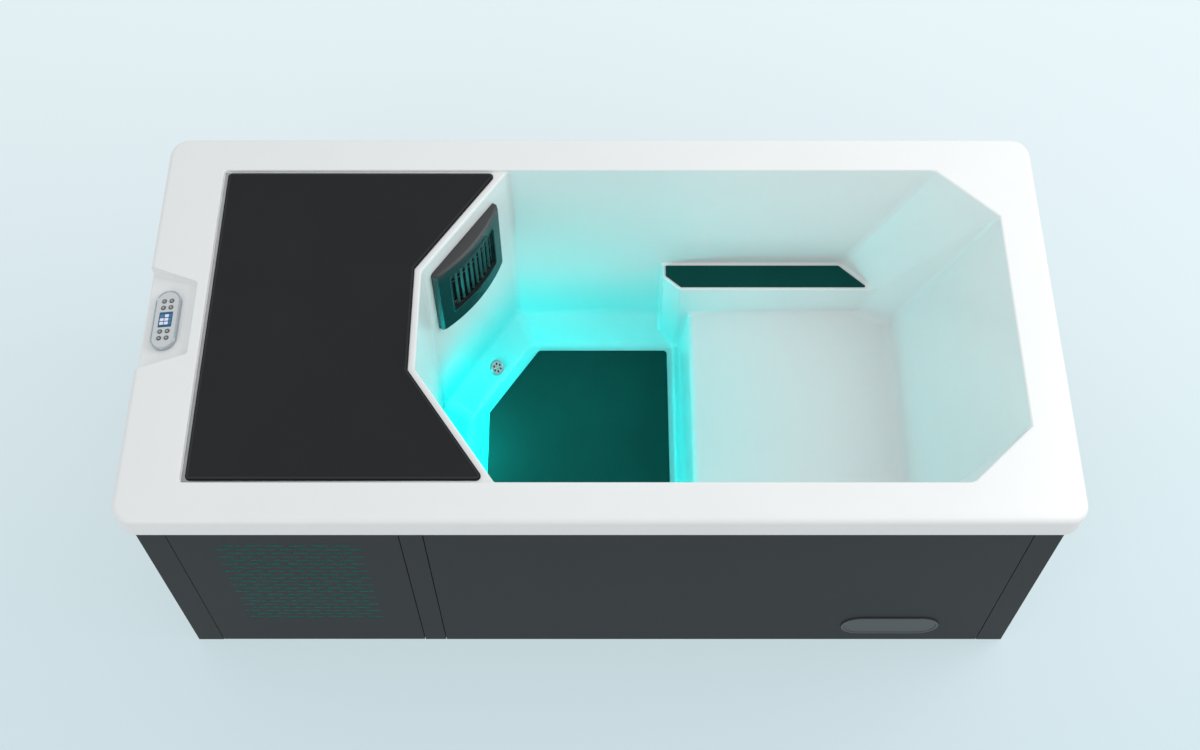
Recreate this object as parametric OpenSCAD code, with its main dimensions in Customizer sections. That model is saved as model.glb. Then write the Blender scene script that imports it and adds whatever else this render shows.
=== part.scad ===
// Cold plunge tub: a thin acrylic shell with a footwell, a seat, a backrest and two armrests,
// dropped into a panelled cabinet whose left end holds the chiller under a padded deck.
// +X runs along the tub from the control end to the backrest, -Y is the front, +Z is up.
// The origin is on the floor at the middle of the footprint. Millimetres.

/* [Overall] */
// Length over the rim
tub_len = 2000; // [1850:10:2300]
// Width over the rim
tub_w = 984; // [940:4:1150]
// Height of the rim above the floor
tub_h = 731; // [690:1:820]

/* [Rim and deck] */
// Thickness of the acrylic shell
shell_t = 8; // [5:0.5:10]
// Height of the turned-down outer edge
apron_h = 64; // [45:1:90]
// Plan radius of the rim's corners
rim_corner_r = 45; // [25:1:80]
// Rounding along the rim's outer top edge
rim_edge_r = 12; // [6:1:18]
// Width of the rim along each long side
side_rim_w = 92; // [75:1:120]
// Width of the rim behind the backrest
end_rim_w = 92; // [75:1:130]
// Width of the rim at the control end
head_rim_w = 133; // [125:1:160]
// Length from the control end to the nose of the well
deck_len = 602; // [560:1:680]
// How far the deck lies below the rim
deck_drop = 9; // [7:0.5:14]
// White border between the deck pad and the well
deck_margin = 15; // [8:1:25]
// White border along the two sides of the deck pad
deck_side_gap = 6; // [4:0.5:12]
// White border along the outer end of the deck pad
deck_end_gap = 9.5; // [5:0.5:15]
// Thickness of the deck pad
deck_pad_t = 6; // [3:0.5:7]
// Corner radius of the pads
pad_corner_r = 10; // [4:1:16]
// Width of the bevel round the deck pad
pad_bevel = 3; // [1:0.5:4]

/* [Well] */
// Run of the angled walls beside the nose, along X
shoulder_run = 182; // [140:1:230]
// Width of the short wall at the nose
nose_w = 252; // [200:1:320]
// Run of the corners beside the backrest, along X
corner_run = 135; // [90:1:160]
// Run of the corners beside the backrest, along Y
corner_w = 130; // [90:1:160]
// Length of the footwell from the nose to the foot of the seat front
footwell_len = 594; // [540:1:640]
// Height of the footwell floor above the ground
foot_z = 60; // [50:1:70]
// Width and height of the sloped band round the footwell floor
band = 67; // [50:1:85]
// How far the seat front leans back
riser_lean = 30; // [15:1:36]
// Height of the seat above the ground
seat_z = 238; // [200:1:280]
// How far the backrest leans back
recline_run = 177; // [120:1:240]
// Height of the armrest ledges above the ground
ledge_z = 343; // [320:1:400]
// Width of the armrest ledges
ledge_w = 77; // [55:1:95]
// How far each ledge reaches past the foot of the seat front
ledge_reach = 38; // [20:1:60]
// How far each ledge stops short of the backrest corner
ledge_tail = 171; // [140:1:200]
// Space between the mat and the sloped band
mat_margin = 20; // [10:1:35]
// Thickness of the footwell mat
mat_t = 5; // [3:0.5:8]
// Space between an armrest pad and its ledge's edge
arm_pad_margin = 7; // [4:0.5:12]
// Thickness of the armrest pads
arm_pad_t = 5; // [3:0.5:8]

/* [Control panel] */
// Length of the keypad
keypad_len = 150; // [140:1:160]
// Width of the keypad
keypad_w = 58; // [52:1:62]
// Height of the keypad above its recess
keypad_h = 11; // [8:0.5:12]
// Diameter of one button
button_d = 10.5; // [8:0.5:12]
// Spacing of the buttons
button_pitch = 17; // [15:0.5:18]
// How far a button can be pressed
button_travel = 0.8; // [0.4:0.1:1.2]
// Length of the display
screen_len = 38; // [30:1:40]
// Width of the display
screen_w = 30; // [20:1:36]
// Depth of the recess at its inner edge
recess_near = 12; // [11:0.5:14]
// Depth of the recess at the rim's outer edge
recess_far = 28; // [22:1:34]

/* [Filter] */
// Width of the filter cover
cover_w = 244; // [225:1:250]
// Height of the filter cover
cover_h = 233; // [215:1:245]
// Depth of the cover's upper edge below the rim's top
cover_drop = 58; // [43:1:90]
// Thickness of the cover at its ends
cover_edge_t = 14; // [10:1:18]
// Extra thickness of the cover at its middle
cover_crown = 19; // [10:1:26]
// Number of slots in the grille
grille_slots = 9; // [6:1:10]
// Diameter of the filter cartridge
cartridge_d = 106; // [90:1:112]
// Length of the filter cartridge
cartridge_len = 168; // [150:1:172]
// Depth of the filter housing behind the wall
housing_depth = 140; // [130:1:150]

/* [Fittings and light] */
// Diameter of the water return fitting
fitting_d = 41; // [36:1:48]
// Diameter of the light's lens
led_d = 90; // [70:1:110]
// Height of the light's centre above the ground
led_z = 190; // [180:1:230]

/* [Cabinet] */
// How far the rim overhangs the cabinet
cabinet_inset = 25; // [21:1:32]
// Thickness of the cabinet panels
panel_t = 12; // [9:0.5:15]
// Width of the corner posts
post_w = 60; // [50:1:75]
// Open seam between neighbouring panels
seam = 1.5; // [0.8:0.1:2.5]
// Width of the vented access panel
access_w = 488; // [470:1:500]
// Width of the strip beside the access panel
mullion_w = 50; // [35:1:70]
// Height of the lowest row of vents above the ground
vent_z = 150; // [90:1:180]
// Length of one vent
vent_len = 36; // [26:1:40]
// Height of one vent
vent_h = 5; // [4:0.5:7]
// Spacing of the vents in a row
vent_pitch = 47; // [44:1:52]
// Spacing of the rows of vents
vent_row = 19.4; // [16:0.2:22]
// Number of vents in the longer rows
vent_count = 7; // [4:1:8]
// Number of rows of vents
vent_rows = 22; // [10:1:24]
// Width of the badge on the main panel
badge_w = 231; // [180:1:260]
// Height of the badge on the main panel
badge_h = 92; // [70:1:110]
// Height of the badge's middle above the ground
badge_z = 96; // [80:1:200]
// Distance from the badge's middle to the main panel's right edge
badge_edge = 226; // [160:1:500]
// Side of the square frame tubes
rail_s = 30; // [25:1:36]
// Wall of the square frame tubes
rail_t = 2.5; // [1.5:0.5:4]
// Thickness of the base pan
pan_t = 10; // [6:0.5:14]

/* [Chiller] */
// Width of the condenser coil
coil_w = 380; // [340:1:400]
// Height of the condenser coil
coil_h = 560; // [440:1:590]
// Depth of the condenser coil
coil_t = 40; // [30:1:50]
// Diameter of the fan
fan_d = 300; // [260:1:320]
// Number of fan blades
fan_blades = 5; // [4:1:7]
// Diameter of the compressor
comp_d = 150; // [130:1:165]
// Height of the compressor's can
comp_h = 230; // [190:1:260]
// Diameter of the heat exchanger
exchanger_d = 130; // [110:1:140]
// Height of the heat exchanger
exchanger_h = 400; // [380:1:430]
// Outer diameter of the water pipes
pipe_d = 32; // [28:1:36]
// Wall of the water pipes
pipe_t = 3; // [2:0.5:4]
// Outer diameter of the refrigerant lines
line_d = 9.5; // [8:0.5:12]
// Diameter of the pump's wet end
pump_d = 130; // [110:1:140]
// Length of the pump's motor
pump_motor_len = 150; // [120:5:180]

/* [Hidden] */
$fn = 48;

// How far every cut runs past the face that it opens
over = 1;
// Gap between pieces that seat on each other and come apart
seat_gap = 0.3;
// Radial clearance of a shaft in its bearing
shaft_gap = 0.05;

half_len = tub_len / 2;
half_w = tub_w / 2;
well_y = half_w - side_rim_w;
nose_x = deck_len - half_len;
nose_y = nose_w / 2;
shoulder_x = nose_x + shoulder_run;
shoulder_rise = well_y - nose_y;
shoulder_len = norm([shoulder_run, shoulder_rise]);
shoulder_a = atan2(shoulder_rise, shoulder_run);
back_x = half_len - end_rim_w;
corner_x = back_x - corner_run;
corner_y = well_y - corner_w;
riser_x = nose_x + footwell_len;
riser_top_x = riser_x + riser_lean;
seat_x = back_x - recline_run;
arm_y = well_y - ledge_w;
fold_z = foot_z + band;

// Armrest outline: its front end is cut off at an angle, its tail meets the backrest corner
ledge_x = riser_x - ledge_reach;
ledge_end_run = 42;
ledge_end_w = 38;
tail_x = corner_x - ledge_tail;
tip_x = tail_x + ledge_w * corner_run / corner_w;
seat_corner_run = 79;
seat_corner_w = 35;

// Where a line at distance d inside the angled wall crosses a given y, or a given x
function shoulder_x_at(y, d) = shoulder_x + (d * shoulder_len + (y - well_y) * shoulder_run) / shoulder_rise;
function shoulder_y_at(x, d) = well_y + ((x - shoulder_x) * shoulder_rise - d * shoulder_len) / shoulder_run;
function mirrored(half) = concat(half, [for (i = [len(half) - 1:-1:0]) [half[i][0], -half[i][1]]]);

// Outline helpers
module flat(z, h) translate([0, 0, z]) linear_extrude(h) children();
module rounded(r) offset(r = r) offset(delta = -r) children();
module slot2d(l, w) {
  square([l - w, w], center = true);
  for (s = [-1, 1]) translate([s * (l - w) / 2, 0]) circle(d = w);
}

// A solid through a stack of outlines that all have the same number of points
module loft(rings) {
  n = len(rings[0]);
  sides = [for (k = [0:len(rings) - 2], i = [0:n - 1])
    let (a = k * n + i, b = k * n + (i + 1) % n) each [[a, a + n, b], [a + n, b + n, b]]];
  polyhedron([for (r = rings) each r], concat([[for (i = [0:n - 1]) i]],
    [[for (i = [n - 1:-1:0]) (len(rings) - 1) * n + i]], sides));
}

// Rods and pipes along a list of points, with a slightly thicker ball at every bend
ball_share = 1.06;
function unit(v) = v / norm(v);
module rod(a, b, d) {
  v = b - a;
  translate(a) rotate([0, acos(v.z / norm(v)), atan2(v.y, v.x)]) cylinder(d = d, h = norm(v));
}
// The ball's own axis stands across the bend, and its seam faces away from both rods
module ball(a, b, c, d) {
  x = -unit(unit(a - b) + unit(c - b));
  z = unit(cross(b - a, c - b));
  y = cross(z, x);
  multmatrix([[x.x, y.x, z.x, b.x], [x.y, y.y, z.y, b.y], [x.z, y.z, z.z, b.z]]) sphere(d = ball_share * d);
}
module run(points, d) {
  for (i = [0:len(points) - 2]) rod(points[i], points[i + 1], d);
  for (i = [1:1:len(points) - 2]) ball(points[i - 1], points[i], points[i + 1], d);
}
function past(a, b, d) = b + unit(b - a) * d;
module pipe(points, d, t) {
  last = len(points) - 1;
  bore = [for (i = [0:last])
    i == 0 ? past(points[1], points[0], over)
      : i == last ? past(points[last - 1], points[last], over) : points[i]];
  difference() {
    run(points, d);
    run(bore, d - 2 * t);
  }
}

// Outline of the footwell at the rim, of the deck pad before deck_margin comes off, and of one armrest
foot_run_out = 60;
foot_plan = mirrored([[riser_top_x + band + foot_run_out, well_y], [shoulder_x, well_y], [nose_x, nose_y]]);
pad_more = deck_margin - deck_side_gap;
pad_head_x = head_rim_w - half_len - deck_margin + deck_end_gap;
pad_plan = mirrored([[nose_x, nose_y], [shoulder_x + pad_more * shoulder_run / shoulder_rise, well_y + pad_more],
  [pad_head_x, well_y + pad_more]]);
ledge_plan = [[ledge_x, well_y], [ledge_x, arm_y + ledge_end_w], [ledge_x + ledge_end_run, arm_y],
  [tip_x, arm_y], [tail_x, well_y]];

// The footwell's inside, grown by g for the outside of the shell. It ends in the seat front
// and, beside that, in the angled ends of the armrests.
module foot_bowl(g, top) {
  reach_x = riser_top_x + band;
  bend = g * tan(22.5);
  ends = mirrored([[reach_x, arm_y], [ledge_x + ledge_end_run, arm_y], [ledge_x, arm_y + ledge_end_w],
    [ledge_x, half_w], [-half_len, half_w]]);
  intersection() {
    hull() {
      flat(fold_z - bend, top - fold_z + bend) offset(delta = g) polygon(foot_plan);
      flat(foot_z - g, over) offset(delta = bend - band) polygon(foot_plan);
    }
    linear_extrude(top) offset(delta = g) polygon(ends);
    rotate([90, 0, 0]) linear_extrude(tub_w, center = true) polygon([[-half_len, 0], [riser_x + g, 0],
      [riser_x + g, foot_z], [riser_top_x + g, seat_z], [riser_top_x + g, top], [-half_len, top]]);
  }
}

// How far up the backrest a height is, from 0 at the seat to 1 at the rim
function recline(z) = (z - seat_z) / (tub_h - seat_z);
function back_at(z) = seat_x + recline_run * recline(z);
function crease_at(z) = arm_y - seat_corner_w + (corner_y - arm_y + seat_corner_w) * recline(z);
function at_z(plan, z) = [for (p = plan) [p.x, p.y, z]];

// Half of the space over the seat: above the armrests it reaches the outer walls, and below
// them it narrows to the seat. The fold meets the rim at a share of the rim's corner.
fold_share = 0.3;
function rim_ring(g) = [[ledge_x - over, -over], [back_x + g, -over], [back_x + g, corner_y + g / 2],
  [back_x - corner_run * fold_share + g, corner_y + corner_w * fold_share + g],
  [corner_x + g / 2, well_y + g], [ledge_x - over, well_y + g]];
function ledge_ring(g) = [[ledge_x - over, -over], [back_at(ledge_z) + g, -over],
  [back_at(ledge_z) + g, crease_at(ledge_z) + g / 2], [tip_x + g, arm_y + g],
  [tail_x + g / 2, well_y + g], [ledge_x - over, well_y + g]];
function basin_ring(back, crease, tip, g) = [[ledge_x + ledge_end_run, -over], [back + g, -over],
  [back + g, crease + g / 2], [tip + g / 2, arm_y + g], [ledge_x + ledge_end_run, arm_y + g]];
module half_basin(g, top) {
  upper = basin_ring(back_at(ledge_z), crease_at(ledge_z), tip_x, g);
  lower = basin_ring(seat_x, arm_y - seat_corner_w, seat_x - seat_corner_run, g);
  lap = g == 0 ? [at_z(upper, ledge_z + over)] : [];
  loft([at_z(ledge_ring(g), ledge_z - g), at_z(rim_ring(g), top)]);
  loft(concat([at_z(lower, seat_z - g), at_z(upper, ledge_z)], lap));
}
module cavity(g, top) {
  foot_bowl(g, top);
  half_basin(g, top);
  mirror([0, 1, 0]) half_basin(g, top);
}

// Frames: local +X runs along the angled wall and +Y points out of the well.
// The second one lies on the sloped band, with +Z pointing into the well.
function shoulder_pt(s, y, z) = [(nose_x + shoulder_x) / 2 + s * cos(shoulder_a) - y * sin(shoulder_a),
  (nose_y + well_y) / 2 + s * sin(shoulder_a) + y * cos(shoulder_a), z];
module on_shoulder(s) translate(shoulder_pt(s, 0, 0)) rotate(shoulder_a) children();
module on_band(s, d) on_shoulder(s) translate([0, -d, fold_z - d]) rotate([45, 0, 0]) children();

// Recess of the keypad: a notch in the rim's outer edge with a floor that falls outwards
recess_run = 108;
recess_mouth = 266;
recess_inner = 187;
recess_x = recess_run - half_len;
recess_a = atan((recess_far - recess_near) / recess_run);
keypad_edge = 50;
keypad_x = keypad_edge - half_len;
function recess_floor(x) = tub_h - recess_near - (recess_x - x) * tan(recess_a);
module recess_solid(g, x0, top) intersection() {
  linear_extrude(top) offset(delta = g) polygon(mirrored([[recess_x, recess_inner / 2],
    [-half_len, recess_mouth / 2], [-half_len - over, recess_mouth / 2]]));
  rotate([90, 0, 0]) linear_extrude(tub_w, center = true) polygon([[recess_x + g, top],
    [recess_x + g, recess_floor(recess_x + g) - g], [x0, recess_floor(x0) - g], [x0, top]]);
}
module on_recess() translate([keypad_x, 0, recess_floor(keypad_x)]) rotate([0, -recess_a, 0]) children();

// Keypad details, measured in its own frame from the recess floor up
bezel_w = 3;
keypad_drop = 1;
face_h = keypad_h - keypad_drop;
screen_t = 2;
button_well = 6;
button_proud = 1.2;
tail_d = 9;
tail_proud = 12;
tail_len = shell_t + tail_proud;
button_clear = 1;
button_first = screen_len / 2 + button_d + button_clear;
button_spots = [for (end = [1, -1], row = [0, 1], side = [-1, 1])
  [side * button_pitch / 2, end * (button_first + row * button_pitch)]];

// Filter parts, in the frame of the rear angled wall
cover_s = -16;
cover_wall = 4;
cover_lap = 20;
cover_z = tub_h - cover_drop - cover_h;
open_w = cover_w - 2 * cover_lap;
open_h = cover_h - 2 * cover_lap;
window_side = 38;
window_head = 37;
window_foot = 50;
window_w = cover_w - 2 * window_side;
window_h = cover_h - window_head - window_foot;
window_z = cover_z + window_foot;
cover_r = (pow(cover_w / 2, 2) + pow(cover_crown, 2)) / (2 * cover_crown);
grille_t = 5;
grille_lip = 3;
grille_bar = 6;
caddy_w = 60;
caddy_t = 3;
pleats = 40;
pleat_depth = 11;
pleat_clear = 2;
cap_t = 8;
core_d = 44;
cartridge_clear = 8;
cartridge_y = shell_t + cartridge_d / 2 + cartridge_clear;
cartridge_z = cover_z + (cover_h - cartridge_len) / 2;
housing_t = 4;
flange_w = 16;
port_len = 24;
port_y = shell_t + housing_depth / 2;

// Return fitting and light
fitting_s = 8;
fitting_band = 40;
fitting_face_t = 3;
fitting_tail = 50;
nut_t = 8;
led_tail_d = 58;
led_tail = 46;

// Cabinet planes
cab_x = half_len - cabinet_inset;
cab_y = half_w - cabinet_inset;
bay_x = cab_x - panel_t;
bay_y = cab_y - panel_t;
wall_h = tub_h - shell_t;
post_x = cab_x - post_w;
access_x0 = seam - post_x;
access_x1 = access_x0 + access_w;
access_foot = 2;
access_h = tub_h - apron_h - 2 * access_foot;
mullion_x = access_x1 + seam;
main_x = mullion_x + mullion_w + seam;
rail_drop = 60;
top_rail_z = tub_h - rail_drop - rail_s;
bolt_d = 6;
bolt_head_d = 10;
bolt_head_t = 4;
bolt_gap = 0.2;
bolt_grip = 7;
bolt_clear = 3;
bolt_x = post_x + bolt_head_d / 2 + bolt_clear;
badge_x = cab_x - post_w - badge_edge;
badge_rim = 6;
badge_t = 4;
badge_step = 1;

// Condenser and fan, behind the vents
air_x = (access_x0 + access_x1) / 2;
air_z = pan_t + coil_h / 2;
coil_clear = 2;
coil_y = rail_s + coil_clear - bay_y;
fin_pitch = 15.5;
fin_t = 1.5;
coil_plate = 3;
coil_tubes = 8;
coil_port = 12;
shroud_y = coil_y + coil_t;
shroud_depth = 45;
shroud_t = 3;
fan_clear = 6;
hub_d = 70;
hub_len = 30;
blade_chord = 84;
blade_a = 32;
blade_t = 3;
shaft_d = 10;
shaft_len = 22;
fan_gap = 3;
motor_d = 85;
motor_len = 60;
spider_w = 14;
spider_t = 8;

// Compressor
comp_margin = 60;
comp_x = access_x1 - comp_d / 2 - comp_margin;
comp_y = -60;
mount_d = 28;
mount_h = 18;
foot_t = 4;
foot_reach = 20;
foot_inset = 5;
foot_len = comp_d + 2 * foot_reach;
foot_w = comp_d - 2 * foot_inset;
comp_z = pan_t + mount_h + foot_t;
dome_h = 28;
stub_wall = 2;
stub_d = line_d + 2 * stub_wall;
stub_len = 12;
discharge_drop = 55;
discharge_z = comp_z + comp_h - discharge_drop;
suction_z = comp_z + comp_h / 2;

// Heat exchanger
drain_room = 98;
exchanger_x = drain_room + exchanger_d / 2 - bay_x;
exchanger_y = 130;
exchanger_t = 5;
pipe_stub = 12;
water_in_drop = 80;
vapour_drop = 50;
liquid_rise = 70;
water_in_z = pan_t + exchanger_h - water_in_drop;
vapour_z = pan_t + exchanger_h - vapour_drop;
liquid_z = pan_t + liquid_rise;

// Water circuit: filter housing, pump, heat exchanger, return fitting
port = shoulder_pt(cover_s, port_y, cover_z + cover_lap - housing_t - port_len);
pump_run = 170;
pump_x = port.x - pump_run;
pump_lift = 15;
pump_z = pan_t + pump_d / 2 + pump_lift;
pump_inlet = 20;
pump_len = 60;
pump_wall = 8;
pump_shaft_d = 12;
pump_shaft = 34;
impeller_gap = 9;
impeller_d = pump_d - 2 * (pump_wall + impeller_gap);
impeller_t = 6;
vane_h = 18;
vane_count = 6;
pump_step = 10;
pump_motor_d = pump_d - 2 * pump_step;
pump_out = 14;
fitting_end = shoulder_pt(fitting_s, fitting_tail * sin(45) - fitting_band, fold_z - fitting_band
  - fitting_tail * sin(45));
return_lead = 22;
return_elbow = shoulder_pt(fitting_s, (fitting_tail + return_lead) * sin(45) - fitting_band,
  fold_z - fitting_band - (fitting_tail + return_lead) * sin(45));
return_turn = 48;

// Drain valve on the control end, with its hose end outside
drain_clear = 20;
drain_z = pan_t + rail_s + drain_clear;
hose_d = 26.4;
hose_len = 18;
neck_d = 24;
neck_gap = 0.5;
drain_bore = 16;
valve_d = 44;
valve_len = 52;
ball_d = 24;
valve_x = exchanger_x - exchanger_d / 2 - pipe_stub;
stem_d = 10;
lever_len = 50;
lever_w = 14;
lever_t = 4;
lever_rise = 6;

// Control box and power gland on the control end's inner face
box_y0 = -220;
box_y1 = 20;
box_z = 300;
box_h = 220;
box_depth = 100;
box_t = 3;
cable_d = 6;
gland_y = -150;
gland_z = 150;
gland_d = 20;
gland_head_d = 28;
gland_head_t = 6;
gland_bore = 11;

// Shell and what lies in it

module edge_profile() difference() {
  union() {
    translate([-rim_corner_r, tub_h - apron_h]) square([rim_corner_r, apron_h - rim_edge_r]);
    translate([-rim_corner_r, tub_h - apron_h]) square([rim_corner_r - rim_edge_r, apron_h]);
    translate([-rim_edge_r, tub_h - rim_edge_r]) circle(rim_edge_r);
  }
  translate([-rim_corner_r - over, tub_h - apron_h - over])
    square([rim_corner_r - shell_t + over, apron_h - shell_t + over]);
}
module rim() {
  flat(wall_h, shell_t) square([tub_len - 2 * rim_corner_r, tub_w - 2 * rim_corner_r], center = true);
  for (side = [0:3]) {
    along = side % 2 == 0;
    rotate(90 * side) rotate([90, 0, 90]) translate([along ? half_w : half_len, 0, 0])
      linear_extrude((along ? tub_len : tub_w) - 2 * rim_corner_r, center = true) edge_profile();
  }
  for (corner = [[1, 1, 0], [-1, 1, 90], [-1, -1, 180], [1, -1, 270]])
    translate([corner.x * (half_len - rim_corner_r), corner.y * (half_w - rim_corner_r), 0])
      rotate(corner.z) rotate_extrude(angle = 90) translate([rim_corner_r, 0]) edge_profile();
}
module deck_block(g, z, h) {
  head_x = head_rim_w - half_len;
  translate([head_x - g, -well_y - g, z]) cube([shoulder_x - head_x + g, 2 * (well_y + g), h]);
}
module filter_opening() on_shoulder(cover_s)
  translate([-open_w / 2, -over, cover_z + cover_lap]) cube([open_w, shell_t + 2 * over, open_h]);
module nose_light() translate([nose_x, 0, led_z]) rotate([0, 90, 0]) children();
module shell_sheet() {
  deck_z = tub_h - deck_drop;
  difference() {
    union() {
      rim();
      deck_block(shell_t, deck_z - shell_t, deck_drop + over);
      recess_solid(shell_t, shell_t / 2 - half_len, wall_h + over);
      cavity(shell_t, wall_h + over);
    }
    cavity(0, tub_h + over);
    deck_block(0, deck_z, deck_drop + over);
    recess_solid(0, -half_len - over, tub_h + over);
    filter_opening();
    on_band(fitting_s, fitting_band) translate([0, 0, -shell_t - over])
      cylinder(d = neck_d + 2 * neck_gap, h = shell_t + 2 * over);
    nose_light() translate([0, 0, -shell_t - over])
      cylinder(d = led_tail_d + 2 * neck_gap, h = shell_t + 2 * over);
    on_recess() translate([0, 0, -shell_t - over])
      cylinder(d = tail_d + 2 * neck_gap, h = shell_t + 2 * over);
  }
}
// The shell is one sheet. It is kept as four pieces that meet face to face, so that each one's
// collision can follow its walls: the rim with the deck, and three lengths of the well.
rim_cut = 35;
foot_cut = 13;
seat_cut = 6;
cut_room = 4 * shell_t;
foot_cut_x = ledge_x - foot_cut;
seat_cut_x = riser_top_x + shell_t + seat_cut;
module well_box(x0, x1) translate([x0, -well_y - cut_room, 0])
  cube([x1 - x0, 2 * (well_y + cut_room), tub_h - rim_cut]);
module shell_length(x0, x1) color("white") intersection() {
  shell_sheet();
  well_box(x0, x1);
}
module tub_rim() color("white") difference() {
  shell_sheet();
  well_box(nose_x - cut_room, back_x + cut_room);
}
module footwell_shell() shell_length(nose_x - cut_room, foot_cut_x);
module seat_front_shell() shell_length(foot_cut_x, seat_cut_x);
module seat_shell() shell_length(seat_cut_x, back_x + cut_room);
module deck_pad() {
  pad_z = tub_h - deck_drop;
  color("dimgray") {
    flat(pad_z, deck_pad_t - pad_bevel) rounded(pad_corner_r) offset(delta = -deck_margin) polygon(pad_plan);
    flat(pad_z + deck_pad_t - pad_bevel, pad_bevel)
      rounded(pad_corner_r) offset(delta = -deck_margin - pad_bevel) polygon(pad_plan);
  }
}
mat_nose = 46;
mat_turn = 7;
module footwell_mat() {
  d = band + mat_margin + mat_turn;
  y = well_y - band - mat_margin;
  x = nose_x + band + mat_nose;
  color("darkslategray") flat(foot_z, mat_t) rounded(pad_corner_r) polygon(mirrored([
    [riser_x - mat_margin, y], [shoulder_x_at(y, d), y], [x, shoulder_y_at(x, d)]]));
}
module armrest_pad() flat(ledge_z, arm_pad_t) rounded(pad_corner_r / 5)
  offset(delta = -arm_pad_margin) polygon(ledge_plan);
module rear_armrest_pad() color("darkslategray") armrest_pad();
module front_armrest_pad() color("darkslategray") mirror([0, 1, 0]) armrest_pad();

// Keypad

module keypad_plan(g) rotate(90) slot2d(keypad_len + 2 * g, keypad_w + 2 * g);
module keypad_bezel() color("silver") on_recess() linear_extrude(keypad_h) difference() {
  keypad_plan(0);
  keypad_plan(-bezel_w);
}
module keypad_housing() color("gainsboro") on_recess() difference() {
  union() {
    linear_extrude(face_h) keypad_plan(-bezel_w - neck_gap / 2);
    translate([0, 0, -tail_len]) cylinder(d = tail_d, h = tail_len + over);
  }
  flat(face_h - screen_t, screen_t + over)
    square([screen_w + 2 * neck_gap, screen_len + 2 * neck_gap], center = true);
  for (p = button_spots) translate([p.x, p.y, face_h - button_well])
    cylinder(d = button_d + 2 * seat_gap, h = button_well + over);
}
module keypad_screen() color("royalblue") on_recess() flat(face_h - screen_t, screen_t)
  square([screen_w, screen_len], center = true);
module button(i) color("dimgray") on_recess()
  translate([button_spots[i].x, button_spots[i].y, face_h - button_well + button_travel + seat_gap])
    cylinder(d = button_d, h = button_well - button_travel - seat_gap + button_proud);
module keypad_cable() {
  axis = [sin(recess_a), 0, -cos(recess_a)];
  start = [keypad_x, 0, recess_floor(keypad_x)] + tail_len * axis;
  bend = start + 1.2 * cable_d * axis;
  drop_x = rail_s + 2 * cable_d - bay_x;
  color("black") run([start, bend, [drop_x, 0, bend.z], [drop_x, 0, box_z + box_h]], cable_d);
}

// Filter, light and return fitting

module bow(r, z, h) translate([0, 0, z]) intersection() {
  translate([-cover_w / 2, -cover_edge_t - cover_crown, 0])
    cube([cover_w, cover_edge_t + cover_crown - seat_gap, h]);
  translate([0, cover_r - cover_edge_t - cover_crown, 0]) cylinder(r = r, h = h, $fn = 180);
}
module filter_cover() color("dimgray") on_shoulder(cover_s) {
  front_share = 0.7;
  front = cover_edge_t + cover_crown - front_share * cover_wall;
  difference() {
    bow(cover_r, cover_z, cover_h);
    intersection() {
      bow(cover_r - cover_wall, cover_z + cover_wall, cover_h - 2 * cover_wall);
      translate([cover_wall - cover_w / 2, -cover_w, cover_z])
        cube([cover_w - 2 * cover_wall, 2 * cover_w, cover_h]);
    }
    translate([-window_w / 2, -cover_w, window_z]) cube([window_w, cover_w + over, window_h]);
  }
  for (z = [cartridge_z - caddy_t, cartridge_z + cartridge_len])
    translate([-caddy_w / 2, -front, z]) cube([caddy_w, front + cartridge_y, caddy_t]);
}
module filter_grille() color("black") on_shoulder(cover_s) difference() {
  intersection() {
    difference() {
      bow(cover_r - cover_wall - neck_gap / 2, window_z - grille_lip, window_h + 2 * grille_lip);
      bow(cover_r - cover_wall - grille_t, window_z - 2 * grille_lip, window_h + 4 * grille_lip);
    }
    translate([-window_w / 2 - grille_lip, -cover_w, 0])
      cube([window_w + 2 * grille_lip, 2 * cover_w, tub_h]);
  }
  pitch = (window_w - 2 * grille_bar) / grille_slots;
  for (i = [0:grille_slots - 1])
    translate([(i - grille_slots / 2) * pitch + grille_bar / 2, -cover_w, window_z + grille_bar])
      cube([pitch - grille_bar, 2 * cover_w, window_h - 2 * grille_bar]);
}
module on_cartridge() on_shoulder(cover_s) translate([0, cartridge_y, cartridge_z]) children();
module filter_cartridge() color("whitesmoke") on_cartridge() difference() {
  union() {
    cylinder(d = cartridge_d, h = cap_t);
    translate([0, 0, cartridge_len - cap_t]) cylinder(d = cartridge_d, h = cap_t);
    linear_extrude(cartridge_len) polygon([for (i = [0:2 * pleats - 1])
      let (r = cartridge_d / 2 - pleat_clear - (i % 2) * pleat_depth, a = 180 * i / pleats)
        r * [cos(a), sin(a)]]);
  }
  translate([0, 0, -over]) cylinder(d = core_d, h = cartridge_len + 2 * over);
}
module filter_housing() color("gray") on_shoulder(cover_s) {
  z0 = cover_z + cover_lap;
  difference() {
    union() {
      translate([-open_w / 2 - housing_t, shell_t, z0 - housing_t])
        cube([open_w + 2 * housing_t, housing_depth + housing_t, open_h + 2 * housing_t]);
      translate([-open_w / 2 - flange_w, shell_t, z0 - flange_w])
        cube([open_w + 2 * flange_w, housing_t, open_h + 2 * flange_w]);
      translate([0, port_y, port.z]) cylinder(d = pipe_d, h = port_len + over);
    }
    translate([-open_w / 2, shell_t - over, z0]) cube([open_w, housing_depth + over, open_h]);
    translate([0, port_y, port.z - over])
      cylinder(d = pipe_d - 2 * pipe_t, h = port_len + housing_t + 2 * over);
  }
}
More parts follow.
